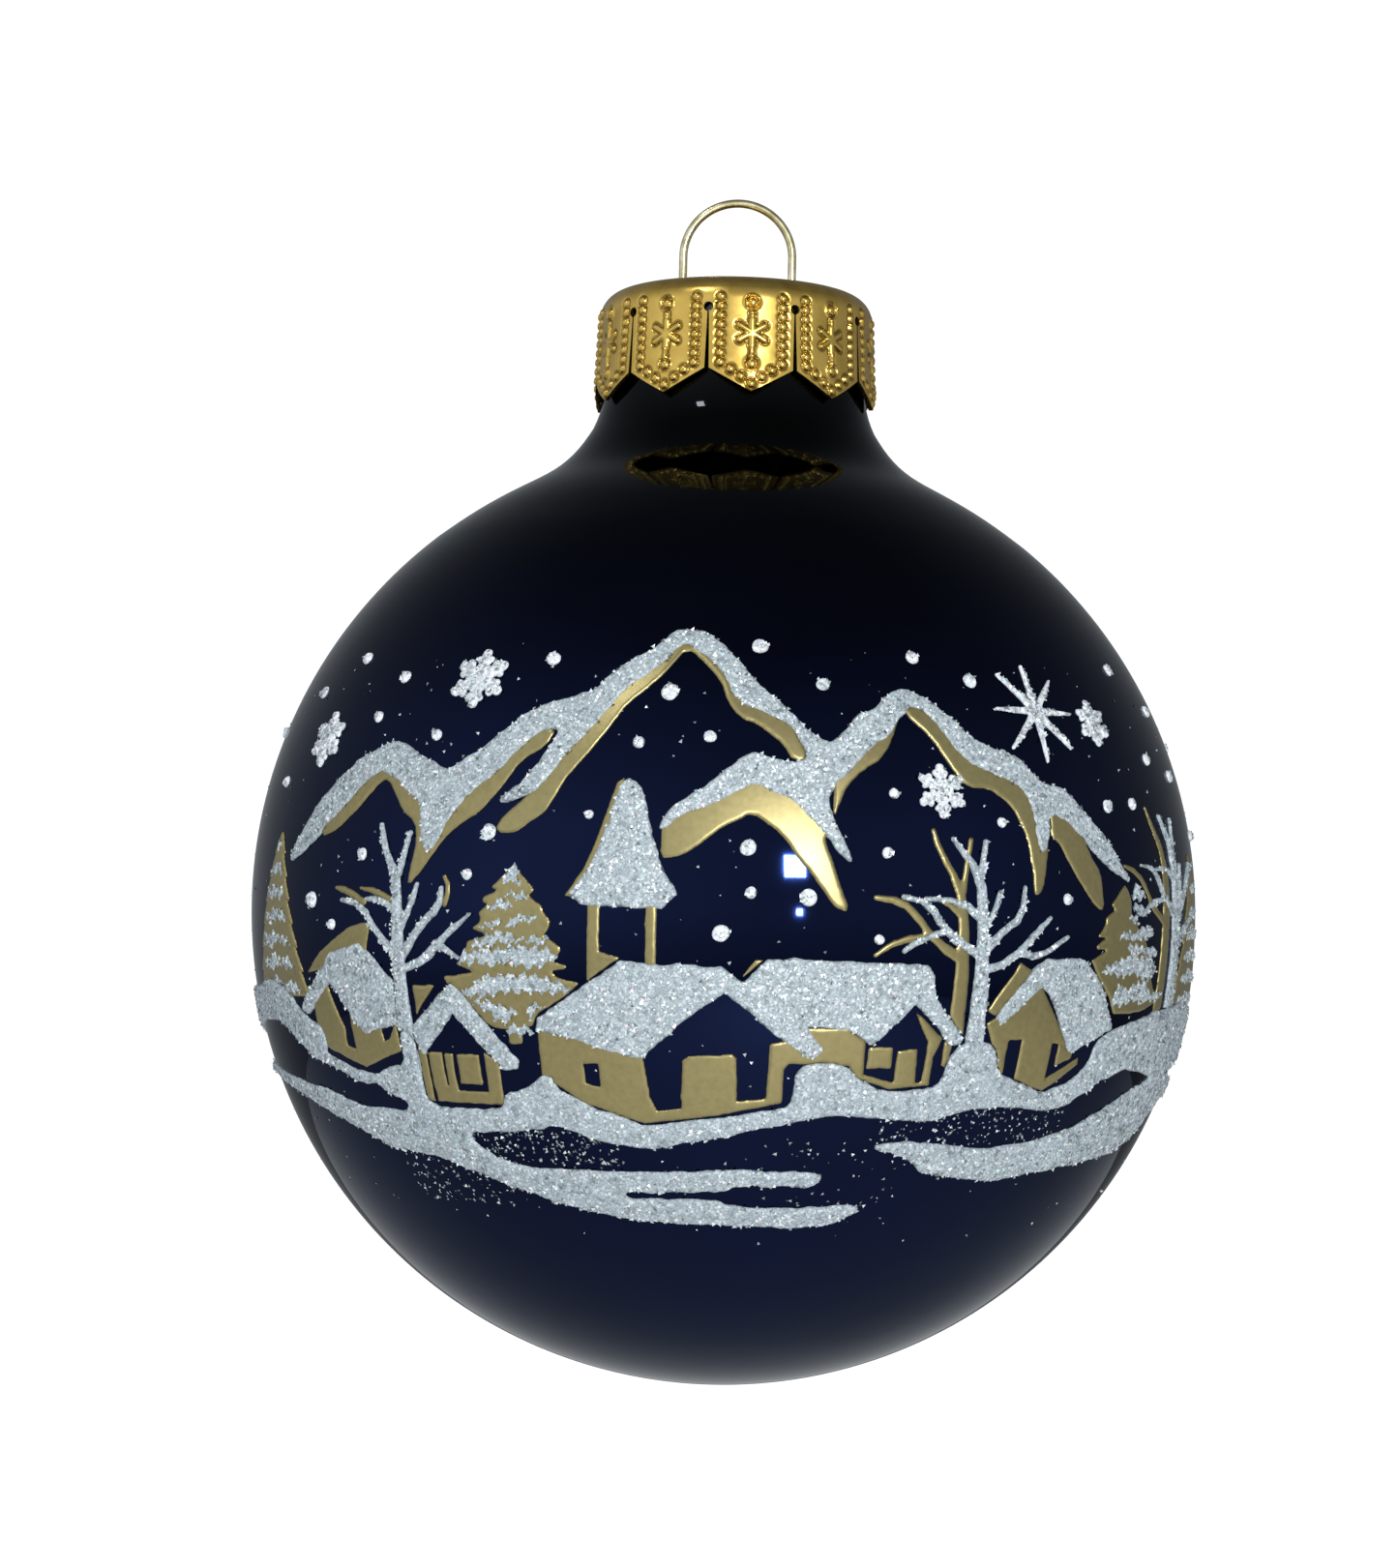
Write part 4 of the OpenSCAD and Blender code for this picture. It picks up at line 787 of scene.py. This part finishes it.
near_boughs = [
    [[-14, 2.1], [-14.4, 1.4], [-12.7, 1.25], [-13.25, 1.9], [-13, 2.2], [-13.5, 2.7]],
    [[-14.25, 0.7], [-13.4, 0.95], [-12.4, 0.55], [-12.75, 0.25]],
    [[-15.2, -0.25], [-14.5, 0.3], [-13.75, 0.4], [-13.4, -0.2]],
    [[-16, -1.3], [-14.5, -0.9], [-14.2, -1.25], [-15.5, -1.5]],
    [[-14, -1.3], [-13.1, -0.55], [-12, -0.7], [-11.5, -0.8], [-12, -1.05], [-13, -0.95], [-13.6, -1.5]],
    [[-17, -2.95], [-15.9, -2.2], [-14.5, -1.7], [-13.9, -1.7], [-13.25, -2], [-11, -1.95],
     [-10.8, -2.2], [-11.5, -2.4], [-13, -2.3], [-14.75, -2.4]],
    [[-17.7, -3.55], [-17.1, -3], [-15.9, -2.95], [-14.1, -2.6], [-12.5, -2.55], [-11.1, -2.6],
     [-10.4, -3.1], [-11.4, -3.7], [-12.5, -3.95], [-14, -3.5], [-15.1, -3.9], [-16, -3.6], [-17, -3.9]],
    [[-17.3, -5.75], [-15.75, -4.5], [-12.25, -4.2], [-9.5, -5], [-9.8, -5.3], [-12, -5.5],
     [-13.6, -5.4], [-15.2, -5.8]],
    [[-17, -6], [-15, -6.05], [-14.1, -6.4], [-13, -6.6], [-12.5, -6], [-11, -6.1], [-12.4, -7.1],
     [-12.7, -6.6], [-14.25, -7.4]],
    [[-14.3, -7.6], [-12.9, -7.5], [-12, -8], [-13, -8.1], [-14, -8.2]]]
far_boughs = [
    [[31, 1.5], [31.6, 2.1], [32.2, 2.4], [32.5, 2.25], [31.9, 2], [32.8, 1.6], [32.75, 1.4], [31.75, 1.25]],
    [[31, 0.95], [32.25, 1.05], [33, 0.55], [32.75, 0.1], [31.5, 0.5]],
    [[30.2, -0.1], [31, 0.3], [32.4, -0.1], [32, -0.25]],
    [[29.5, -1.2], [30.4, -0.8], [31.6, -0.9], [32.1, -0.55], [34, -0.6], [33.9, -0.95], [32.4, -1.2],
     [31.25, -1.4], [30.4, -1.25]],
    [[30.5, -1.9], [31.1, -1.6], [32, -1.75], [33, -1.95], [34.75, -1.9], [34.8, -2.2], [34, -2.4],
     [32.5, -2.2], [31, -2.25]],
    [[27.7, -3.4], [28.25, -3], [29.4, -2.7], [30.4, -2.5], [32.5, -2.5], [34, -2.6], [35, -3.2],
     [34.5, -3.4], [34.25, -3.9], [33, -3.9], [31.75, -3.6], [30, -3.75], [28.75, -3.6]],
    [[29.5, -4.5], [30, -4.25], [31, -4.6], [32, -4.1], [33.5, -4.1], [33.75, -4.5], [35, -4.9],
     [36.25, -4.9], [35.75, -5.25], [34, -5.4], [32, -5.3], [30, -5.75], [29.1, -5.4]]]

tree_right = [
    [[17.2, -8.2, 1.4], [17.2, -3, 1], [17.1, 0, 0.8], [16.9, 2.6, 0.7], [15, 4.8, 0.3]],
    [[16.9, 2.4, 0.6], [17.4, 4.7, 0.3]], [[17, -0.2, 0.6], [15.5, 0.9, 0.5], [13, 1, 0.3]],
    [[16.9, -2.5, 0.6], [14.3, -1, 0.6], [13.3, 0.7, 0.5], [11.5, 1.1, 0.3]],
    [[14.4, -1, 0.5], [12.5, -1.6, 0.4], [11.6, -2.3, 0.3]],
    [[17.1, -0.9, 0.5], [18, 0.3, 0.4], [18.4, 1.5, 0.3]],
    [[17.4, -2.1, 0.6], [18.9, -0.7, 0.5], [20.1, -0.1, 0.5], [20.4, 1.9, 0.3]],
    [[17.4, -3.4, 0.6], [19.3, -2.9, 0.5], [21.5, -0.9, 0.5], [22.6, 0, 0.3]],
    [[20.2, -2.2, 0.5], [21.6, -2.6, 0.4], [24.2, -1.2, 0.3]]]
tree_right_gold = [
    [[15.7, -7.5, 1.2], [15.7, -3, 1], [15.7, 0, 0.7], [15.3, 1.9, 0.6], [14, 4, 0.4], [13.6, 5.3, 0.3]],
    [[15.6, 1.5, 0.5], [16, 3.5, 0.4], [16.3, 4.8, 0.3]],
    [[15.8, -2.9, 0.7], [13.5, -1.5, 0.6], [12.3, 0, 0.5], [11.3, 0.8, 0.5], [9.6, 1, 0.3]],
    [[13.2, -1.3, 0.5], [11, -1.7, 0.4], [9.7, -2.6, 0.3]],
    [[15.8, -0.4, 0.5], [15, 0.5, 0.5], [13.8, 1, 0.3]]]
tree_left = [
    [[-22.2, -10.6, 1.5], [-22.3, -7, 1.2], [-22.4, -2, 0.9], [-22.5, 1.8, 0.7], [-23.5, 2.8, 0.5],
     [-24.4, 5, 0.3]],
    [[-22.4, 1.9, 0.5], [-21.7, 4.5, 0.3]], [[-22.4, -0.7, 0.5], [-23.8, 0.2, 0.5], [-25.3, 0.2, 0.3]],
    [[-22.5, -3.3, 0.6], [-24.3, -2, 0.5], [-25.8, -0.1, 0.5], [-27.8, 0.1, 0.3]],
    [[-22.3, -1.9, 0.5], [-21.2, 0, 0.4], [-20.8, 1.2, 0.3]],
    [[-22.1, -3.6, 0.6], [-20.5, -1.4, 0.5], [-18.9, -0.2, 0.5], [-18.8, 1, 0.3]],
    [[-22, -4.2, 0.6], [-20, -3.5, 0.6], [-19, -2.4, 0.5], [-16.6, -0.6, 0.3]],
    [[-19.2, -2.5, 0.5], [-17.5, -3.4, 0.3]]]
tree_left_gold = [
    [[-28.5, 0.9, 0.3], [-27.2, 0.7, 0.5], [-25.6, 0, 0.5]],
    [[-25.9, 0.9, 0.3], [-24.3, 0.7, 0.5], [-22.7, 0, 0.5]],
    [[-18.6, 1.7, 0.3], [-18.2, 1, 0.4], [-18.5, 0, 0.4]]]
tree_wing = [
    [[38.4, -7, 1.6], [38.3, -3, 1.3], [38.2, 0.6, 1.1], [38.1, 4.6, 0.65], [36.4, 7, 0.3]],
    [[38.1, 4.4, 0.45], [38.7, 6.9, 0.25]], [[38, 2.8, 0.45], [36.6, 3.5, 0.4], [34.9, 3.4, 0.25]],
    [[37.9, 0.4, 0.55], [36.2, 1.2, 0.45], [35, 2.8, 0.4], [34.1, 3.5, 0.3], [32.5, 3.6, 0.25]],
    [[36, 1.4, 0.4], [34, 1.2, 0.4], [32.6, 0.3, 0.3]],
    [[38.6, 0.2, 0.55], [40.4, 1.8, 0.45], [42.5, 3.9, 0.3]],
    [[38.9, 0.6, 0.45], [39.6, 3.8, 0.3]], [[38.7, -1.6, 0.55], [41, -0.2, 0.4], [43.8, 0.6, 0.25]]]
tree_wing_gold = [
    [[36.3, -7, 1.3], [36.3, -2, 1.2], [36.5, 2, 1.1], [36.3, 4.4, 0.65], [35.1, 6, 0.45], [34.3, 7.5, 0.3]],
    [[36.2, -0.2, 0.55], [34, 0.9, 0.45], [33.2, 2, 0.4], [32, 3.1, 0.4], [30.3, 3.5, 0.25]]]

village_drift = [
    [-37, -6.3], [-35, -7.1], [-34, -7.4], [-32.3, -8.2], [-32, -9.6], [-31.5, -10.2], [-29, -11],
    [-26, -11.4], [-25, -10.8], [-22.9, -10.6], [-22.9, -8], [-21.6, -8.6], [-21.6, -12.9],
    [-20, -13.4], [-15.2, -13.2], [-14.9, -12], [-13.6, -11.9], [-12.6, -11.3], [-11.4, -10.6],
    [-11, -11.6], [-9, -12.6], [-5, -14], [0, -13.3], [4.9, -12.4], [5, -9.7], [7, -9.4], [8.3, -9.7],
    [9.3, -10.6], [11, -11.3], [15, -11.1], [15.5, -9], [16.4, -7.9], [19, -8.2], [19.6, -10.1],
    [22, -10.8], [24, -11.5], [26.5, -10.8], [28.2, -9.6], [28.5, -8], [30, -7.4], [37, -6],
    [37, -10.5], [33, -10], [31, -10.3], [29, -11.4], [27, -12.4], [25, -12.8], [20, -12.4],
    [18, -12.6], [15, -13.4], [8, -13], [5, -13.5], [0, -14.7], [-3, -15.3], [-5, -15.7],
    [-8.5, -15.1], [-11.5, -14.1], [-13, -14.6], [-18.2, -15], [-18.5, -15.5], [-16.5, -16.9],
    [-14, -17.4], [-4, -17.3], [2, -17], [7, -17.1], [7.9, -17.4], [7, -18.2], [1.5, -18.2],
    [0.3, -18.7], [-7, -18.9], [-6.8, -19.4], [-0.5, -19.3], [2, -19.9], [6, -19.9], [10.5, -19.5],
    [11.4, -20], [9, -21.2], [6, -21.5], [-6, -21.2], [-12, -20.1], [-18, -18.3], [-22, -17],
    [-26.5, -16.7], [-30.5, -15.3], [-34, -14.4], [-37, -13.5], [-37, -12.5], [-33, -12.8],
    [-29, -13.7], [-24, -13.8], [-23.3, -13.2], [-25.2, -12.6], [-26, -12], [-28, -12], [-30.5, -11.2],
    [-33, -10.8], [-35, -9.7], [-37, -8.5]]
right_drift = [
    [10.8, -15.2], [13, -14.8], [16.8, -15], [20, -15.5], [25, -15], [29, -14], [34, -12.1],
    [37, -11.1], [37, -16.3], [32, -16.9], [26, -17.4], [22, -17.9], [15.5, -17.2], [14, -16.1]]
wing_drift = [
    [30, -7.4], [36, -6.1], [42, -5.6], [48, -6], [WING, -6.2], [62, -5.9], [66, -5.3], [69, -5.8],
    [71, -7.4], [74, -8.5], [74, -10.2], [70.2, -9.7], [67, -8.2], [62, -8.2], [WING, -9.8], [45, -10.4],
    [38.8, -10.7], [45, -10.8], [WING, -11.4], [60, -11.7], [66, -12.2], [72.2, -12.8], [75, -13.4],
    [75, -15], [71.3, -14.4], [67.3, -13.4], [60, -12.2], [WING, -12.4], [45, -12.7], [43, -13.2],
    [40, -15.4], [36, -16.4], [30, -17], [30, -13.5], [38.8, -10.75], [36, -10.4], [33, -10],
    [30, -10.9]]

dots = [  # middle and radius
    [-26, 15.3, 0.47], [-27.4, 12.4, 0.42], [-21, 11, 0.42], [-12.9, 16.4, 0.47], [2.3, 17.5, 0.52],
    [13.8, 17.1, 0.47], [6.6, 14.8, 0.42], [18.2, 15.6, 0.47], [-4, 14, 0.57], [-5.8, 10.5, 0.37],
    [-1.1, 11, 0.37], [11, 7.6, 0.34], [18.8, 6, 0.37], [29.1, 7.4, 0.42], [32.4, 7.7, 0.42],
    [-8.7, 5.8, 0.32], [-15.5, 4.6, 0.52], [1.5, 3.9, 0.52], [10.4, 3.8, 0.37], [1.7, 1.1, 0.37],
    [5.3, 0.9, 0.52], [-0.1, -1.4, 0.52], [9.9, -1.6, 0.34], [24.1, 1.2, 0.37], [-26, 3.1, 0.37],
    [-29, -1.5, 0.37], [-31.5, 0.1, 0.52], [-16.9, 1.9, 0.37], [-32.4, 17, 0.42], [-37.5, 14.6, 0.42],
    [-38.7, 8.1, 0.42], [36.5, 17.6, 0.42], [36.8, 11, 0.42], [41.8, 10, 0.42], [42, 14.8, 0.42],
    [48, 6, 0.42], [-47, 12, 0.42], [51, 12.5, 0.42]]
# middle and reach
flakes = [[-18.6, 15, 2.2], [-33.2, 11, 2], [14.4, 7.9, 1.8], [29.8, 13.2, 1.7]]
star = [23.6, 13.7]
star_rays = [3.3, 3.35, 3.4, 3.5, 3.5, 3.8, 3.35, 3.55]  # lengths, clockwise from the top


def eased(line, most, ring=True):
    """Cuts the corners off a ring or a line of points, each at 0.3 of the side or at so many mm from
    the corner, whichever is less."""
    p = np.array(line, float)
    ahead = np.roll(p, -1, 0) - p
    part = np.minimum(0.3, most / np.maximum(np.hypot(ahead[:, 0], ahead[:, 1]), 1e-6))[:, None]
    cut = np.stack([p + part * ahead, p + (1 - part) * ahead], 1).reshape(-1, p.shape[1])
    return cut if ring else np.concatenate([p[:1], cut[1:-3], p[-1:]])


def fir(u, top, width, height):
    """A pine as seven tiers, each flaring below the one above and undercut: its outline runs down
    the left and up the right."""
    steps = [(side, i) for side, order in ((-1, range(7)), (1, range(6, -1, -1))) for i in order]
    outline = []
    for side, i in steps:
        pair = [[u + side * width * (i + 0.1) / 16, top - height * max(i - 0.15, 0) / 7],
                [u + side * width * (i + 1.9) / 16, top - height * (i + 1) / 7]]
        outline += pair if side < 0 else pair[::-1]
    return outline


def fir_snow(u, top, width, height):
    """Snow on a pine's tiers: a ragged wave on each."""
    waves = []
    for i in range(7):
        y, a = top - height * (i + 0.5) / 7, width * (i + 0.9) / 17
        waves.append([[u - a, y - 0.55], [u - a * 0.7, y + 0.1], [u - a * 0.4, y - 0.1],
                      [u - a * 0.1, y + 0.45], [u + a * 0.3, y + 0.05], [u + a * 0.6, y + 0.2],
                      [u + a, y - 0.4], [u + a * 0.5, y - 0.5], [u + a * 0.2, y - 0.2],
                      [u - a * 0.3, y - 0.6], [u - a * 0.6, y - 0.3]])
    return waves


mountain, village_drift, right_drift, wing_drift = (
    eased(shape, 0.4) for shape in (mountain, village_drift, right_drift, wing_drift))
mountain_sides = [eased(shape, 0.4) for shape in mountain_sides]
pine_near, pine_far = eased(pine_near, 0.12), eased(pine_far, 0.12)
white_trees = [eased(branch, 2, False) for branch in tree_left + tree_right + tree_wing]
gold_trees = [eased(branch, 2, False) for branch in tree_left_gold + tree_right_gold + tree_wing_gold]
wing_firs = [(WING - 9.6, 4.6, 8.4, 10.6), (SCENE - 37.2, 4.6, 9.8, 11)]  # middle, top, width, height


def trees_white(u, v):
    """Trunks and branches of the three snowy trees."""
    return along(u, v, white_trees)


def ground(u, v):
    """The drifts; the one between two scenes shows at both ends of the sheet."""
    wings = np.maximum(inside(u, v, wing_drift), inside(u + SCENE, v, wing_drift))
    return np.maximum(within(u, v, [village_drift, right_drift]), wings)


def roof_tops(u, v):
    """Snow on the roofs, behind the trees and the drifts."""
    return less(within(u, v, roofs), trees_white(u, v), ground(u, v))


def wall_faces(u, v):
    """Gold walls, with their dark gaps left out, behind the trees and the drifts."""
    return less(within(u, v, walls), within(u, v, wall_gaps), trees_white(u, v), ground(u, v))


def pine_bodies(u, v):
    """The gold pines, behind the houses, the trees and the drifts."""
    firs = within(u, v, [pine_near, pine_far] + [fir(*f) for f in wing_firs])
    return less(firs, within(u, v, [*roofs, front_house]), trees_white(u, v), ground(u, v))


def pine_boughs(u, v):
    """Snow on the boughs, its bands shaken up and down by two sines of the way round, 0.15 and
    0.1 mm high, so that they run ragged."""
    shaken = v + 0.15 * np.sin(7.5 * u) + 0.1 * np.sin(17 * u + 3 * v)
    snow = within(u, shaken, near_boughs + far_boughs + [w for f in wing_firs for w in fir_snow(*f)])
    return less(snow, within(u, v, [*roofs, front_house]), trees_white(u, v), ground(u, v))


def mountain_gold(u, v):
    """Shaded sides of the mountains, behind the pines and the trees."""
    return less(within(u, v, mountain_sides), within(u, v, [pine_near, pine_far]), trees_white(u, v))


def mountain_snow(u, v):
    """The snow keeps 0.12 mm clear of the trees before it."""
    return less(inside(u, v, mountain), trees_white(u, v) + 0.12)


def tree_snow(u, v):
    """The snowy trees down to the drifts they stand in."""
    return less(trees_white(u, v), ground(u, v))


def tree_gold(u, v):
    """Shaded sides of the bare trees, seen beside the white ones."""
    gold = along(u, v, gold_trees)
    return less(gold, within(u, v, roofs), ground(u, v))


def sky_dots(u, v):
    """Round dots: the radius less the distance from the middle."""
    return np.maximum.reduce([r - np.hypot((u - x) * cos(y / R), v - y) for x, y, r in dots])


def sky_flakes(u, v):
    """Six arms, each with a short branch on either side and a round end, and a filled middle, all
    sized as parts of the flake's reach."""
    depth = np.full(u.shape, -FAR)
    for x, y, r in flakes:
        squeeze = cos(y / R)
        arms = []
        for turn in np.radians([30, 90, 150, 210, 270, 330]):
            arms.append([[x, y, 0.45 * r], [x + 0.84 * r * cos(turn) / squeeze,
                                            y + 0.84 * r * sin(turn), 0.3 * r]])
            x0, y0 = x + 0.5 * r * cos(turn) / squeeze, y + 0.5 * r * sin(turn)
            for lean in (turn - 0.95, turn + 0.95):
                arms.append([[x0, y0, 0.26 * r], [x0 + 0.24 * r * cos(lean) / squeeze,
                                                  y0 + 0.24 * r * sin(lean), 0.22 * r]])
        middle = 0.46 * r - np.hypot((u - x) * squeeze, v - y)
        depth = np.maximum.reduce([depth, along(u, v, arms, squeeze), middle])
    return depth


def sky_star(u, v):
    """Eight rays that taper to points."""
    x, y = star
    squeeze = cos(y / R)
    rays = [[[x, y, 0.64], [x + far * sin(i * pi / 4) / squeeze, y + far * cos(i * pi / 4), 0.2]]
            for i, far in enumerate(star_rays)]
    return along(u, v, rays, squeeze)


drift_snow = glitter_snow("glitter_snow", "#808b91", "#a1adb4", "#bfc9cf")
sky_snow = glitter_snow("bright_glitter_snow", "#bac2c8", "#dde2e7", "#f3f5f8")
gold = gold_paint()
# node, shape, its window on the sheet, grid cell, how far the outline frays, and snow
for name, shape, window, cell, fray, snow in (
        ("mountain_snow", mountain_snow, (-36, 32, 1, 20), 0.15, 0.13, drift_snow),
        ("roof_snow", roof_tops, (-35, 31, -12, 9), 0.15, 0.13, drift_snow),
        ("pine_snow", pine_boughs, (-19, 75, -9, 6), 0.12, 0.16, drift_snow),
        ("bare_tree_snow", tree_snow, (-29, 45, -12, 8), 0.12, 0.07, drift_snow),
        ("ground_snow", ground, (-WING, WING, -22.5, -5), 0.18, 0.13, drift_snow),
        ("snowflakes", sky_flakes, (-37, 33, 5, 19), 0.1, 0.07, sky_snow),
        ("snow_dots", sky_dots, (-48, 52.6, -3, 19), 0.12, 0.08, sky_snow),
        ("guiding_star", sky_star, (18, 29, 8, 19), 0.09, 0.04, sky_snow)):
    printed(name + "_glitter", shape, window, cell, SNOW_THICK, snow, "glitter_snow", fray,
            SNOW_GRAIN, (name,))
for name, shape, window in (
        ("mountain_gold", mountain_gold, (-32, 29, -1, 19)),
        ("wall_gold", wall_faces, (-34, 28, -15, 9)),
        ("pine_gold", pine_bodies, (-20, 75, -10, 6)),
        ("bare_tree_gold", tree_gold, (-30, 45, -11, 9))):
    printed(name + "_ink", shape, window, GOLD_CELL, GOLD_THICK, gold, "gold_paint", GOLD_FRAY, 0,
            (name,))


# ---------- loose glitter ----------
PROUD_CHIPS = 24000
CHIP_THICK = 0.03


def flat_chips(u, v, lift, size, dull, rng):
    """Three-sided film chips, each a closed four-faced sliver with its own tint and painted glint: a
    chip leans by a random quarter of its upright, its corners stand about a third of a turn apart at
    0.45 to 0.6 of its size, and its fourth point is its thickness above the middle."""
    n = len(u)
    middle = on_ball(u, v, lift)
    out = middle / np.linalg.norm(middle, axis=1)[:, None]
    out = out + rng.normal(0, 0.25, (n, 3))
    out /= np.linalg.norm(out, axis=1)[:, None]
    side = np.cross(out, rng.normal(0, 1, (n, 3)))
    side /= np.linalg.norm(side, axis=1)[:, None]
    other = np.cross(out, side)
    corners = []
    for k in range(3):
        a = k * 2 * pi / 3 + rng.uniform(-0.35, 0.35, n)
        reach = (size * rng.uniform(0.45, 0.6, n))[:, None]
        corners.append(middle + reach * (np.cos(a)[:, None] * side + np.sin(a)[:, None] * other))
    corners.append(middle + out * CHIP_THICK)
    points = np.stack(corners, 1).reshape(-1, 3)
    faces = np.array([[0, 1, 3], [1, 2, 3], [2, 0, 3], [0, 2, 1]])
    triangles = (np.arange(n)[:, None, None] * 4 + faces).reshape(-1, 3)
    return points, triangles, np.repeat(rng.uniform(0, 1, n) ** dull, 4)


def loose_chips(name, u, v, lift, size, dull, seed):
    """Chips on both sides of the ball as one piece. Their tint and painted glint is a random number
    from 0 to 1 raised to the power dull, so that the higher dull is, the fewer are bright."""
    rng = np.random.default_rng(seed)
    back = rng.random(len(u)) < 0.5
    points, triangles, tint_and_glint = flat_chips(u + np.where(back, SCENE, 0), v, lift, size, dull, rng)
    piece(name, points, triangles, chips, "ball", "glitter_snow", (), {"tint_and_glint": ("FACE", tint_and_glint)})


chips = loose_glitter()
rng = np.random.default_rng(5)
where = np.concatenate(settled)
where = where[rng.integers(0, len(where), PROUD_CHIPS)]
u, v, lift = where.T
loose_chips("proud_glitter", u + rng.uniform(-0.1, 0.1, len(u)), v + rng.uniform(-0.1, 0.1, len(u)),
            lift + CHIP_THICK, rng.uniform(0.2, 0.36, len(u)), 0.5, 6)
stray = []
# between u and u, between v and v, and how many: thick beside the drifts, thin over the sky
for u0, u1, v0, v1, count in ((-19, -7, -17.2, -14.4, 520), (-26, -15, -20.5, -16.5, 360),
                              (11, 27, -15.2, -12.4, 420), (2, 14, -20.8, -14.5, 150),
                              (-36, 36, -23, 17, 520), (-52, 52, -21, 18, 300)):
    stray.append(np.stack([rng.uniform(u0, u1, count), rng.uniform(v0, v1, count)], 1))
u, v = np.concatenate(stray).T
loose_chips("stray_glitter", u, v, CHIP_THICK + 0 * u, rng.uniform(0.1, 0.28, len(u)), 1.5, 7)


# ---------- studio ----------
def floor(radius, drop):
    """A round board, its radius in metres, lying drop mm below the ball."""
    # Matt white board, very slightly cloudy, with a little light of its own so that it stays pale.
    made, tree, body = new_material("matt_board", {
        "Roughness": 0.7, "Emission Color": (1, 1, 1, 1), "Emission Strength": 0.12})
    place = add(tree, "ShaderNodeTexCoord").outputs["Object"]
    cloud = add(tree, "ShaderNodeTexNoise", {"Vector": place, "Scale": 3.0})
    board = add(tree, "ShaderNodeValToRGB", {"Fac": cloud.outputs["Fac"]}, stops=[
        (0.3, tone("#f4f4f4")), (0.7, tone("#fafafa"))])
    tree.links.new(board.outputs["Color"], body.inputs["Base Color"])
    bpy.ops.mesh.primitive_circle_add(vertices=96, radius=radius, fill_type="NGON",
                                      location=(0, 0, (BALL_Z - R - drop) / 1000))
    disc = bpy.context.object
    disc.name = "studio_floor"
    disc.data.materials.append(made)


def surround():
    """Light and reflections: strong in front, weaker at the sides and behind, weak overhead and
    below, a little stronger from the left. Seen directly the surround is plain white."""
    world = bpy.data.worlds.new("surround")
    bpy.context.scene.world = world
    world.use_nodes = True
    tree = world.node_tree
    outward = add(tree, "ShaderNodeTexCoord").outputs["Generated"]
    way = add(tree, "ShaderNodeSeparateXYZ", {"Vector": outward})
    turn = add(tree, "ShaderNodeMapRange", {"Value": way.outputs["Y"], "From Min": -1.0, "From Max": 1.0})
    depth = add(tree, "ShaderNodeValToRGB", {"Fac": turn.outputs["Result"]}, stops=[
        (0.2, (0.74, 0.77, 0.79, 1)), (0.5, (0.46, 0.48, 0.5, 1)), (0.8, (0.3, 0.31, 0.32, 1)),
        (0.95, (0.2, 0.21, 0.22, 1))])
    above = add(tree, "ShaderNodeMapRange", {
        "Value": way.outputs["Z"], "From Min": 0.3, "From Max": 0.9, "To Min": 1.0, "To Max": 0.35})
    below = add(tree, "ShaderNodeMapRange", {
        "Value": way.outputs["Z"], "From Min": -0.28, "From Max": 0.0, "To Min": 0.5, "To Max": 1.0})
    left = add(tree, "ShaderNodeMapRange", {
        "Value": way.outputs["X"], "From Min": -1.0, "From Max": 0.2, "To Min": 1.7, "To Max": 1.0})
    tall = add(tree, "ShaderNodeMath", {0: below.outputs["Result"], 1: above.outputs["Result"]},
               operation="MULTIPLY")
    level = add(tree, "ShaderNodeMath", {0: left.outputs["Result"], 1: tall.outputs["Value"]},
                operation="MULTIPLY")
    light = add(tree, "ShaderNodeBackground", {
        "Color": depth.outputs["Color"], "Strength": level.outputs["Value"]})
    seen = tree.nodes["Background"]
    seen.inputs["Color"].default_value = (1, 1, 1, 1)
    seen.inputs["Strength"].default_value = 1.1
    direct = add(tree, "ShaderNodeLightPath").outputs["Is Camera Ray"]
    both = add(tree, "ShaderNodeMixShader", {
        0: direct, 1: light.outputs["Background"], 2: seen.outputs["Background"]})
    tree.links.new(both.outputs["Shader"], tree.nodes["World Output"].inputs["Surface"])


def softbox(name, turn, rise, distance, size, power):
    """A square lamp facing the ball: turn is degrees right of the front, rise degrees up, distance
    and size are in mm and power in watts."""
    data = bpy.data.lights.new(name, "AREA")
    data.size, data.energy = size / 1000, power
    lamp = bpy.data.objects.new(name, data)
    bpy.context.scene.collection.objects.link(lamp)
    way = Vector((sin(radians(turn)) * cos(radians(rise)), -cos(radians(turn)) * cos(radians(rise)),
                  sin(radians(rise))))
    lamp.location = Vector((0, 0, BALL_Z / 1000)) + way * distance / 1000
    lamp.rotation_euler = way.to_track_quat("Z", "Y").to_euler()


floor(radius=0.62, drop=150)
surround()
softbox("lamp", turn=16, rise=10, distance=600, size=50, power=2.0)
softbox("low_lamp", turn=17, rise=0, distance=600, size=14, power=0.2)
softbox("key", turn=-35, rise=50, distance=700, size=60, power=0.6)
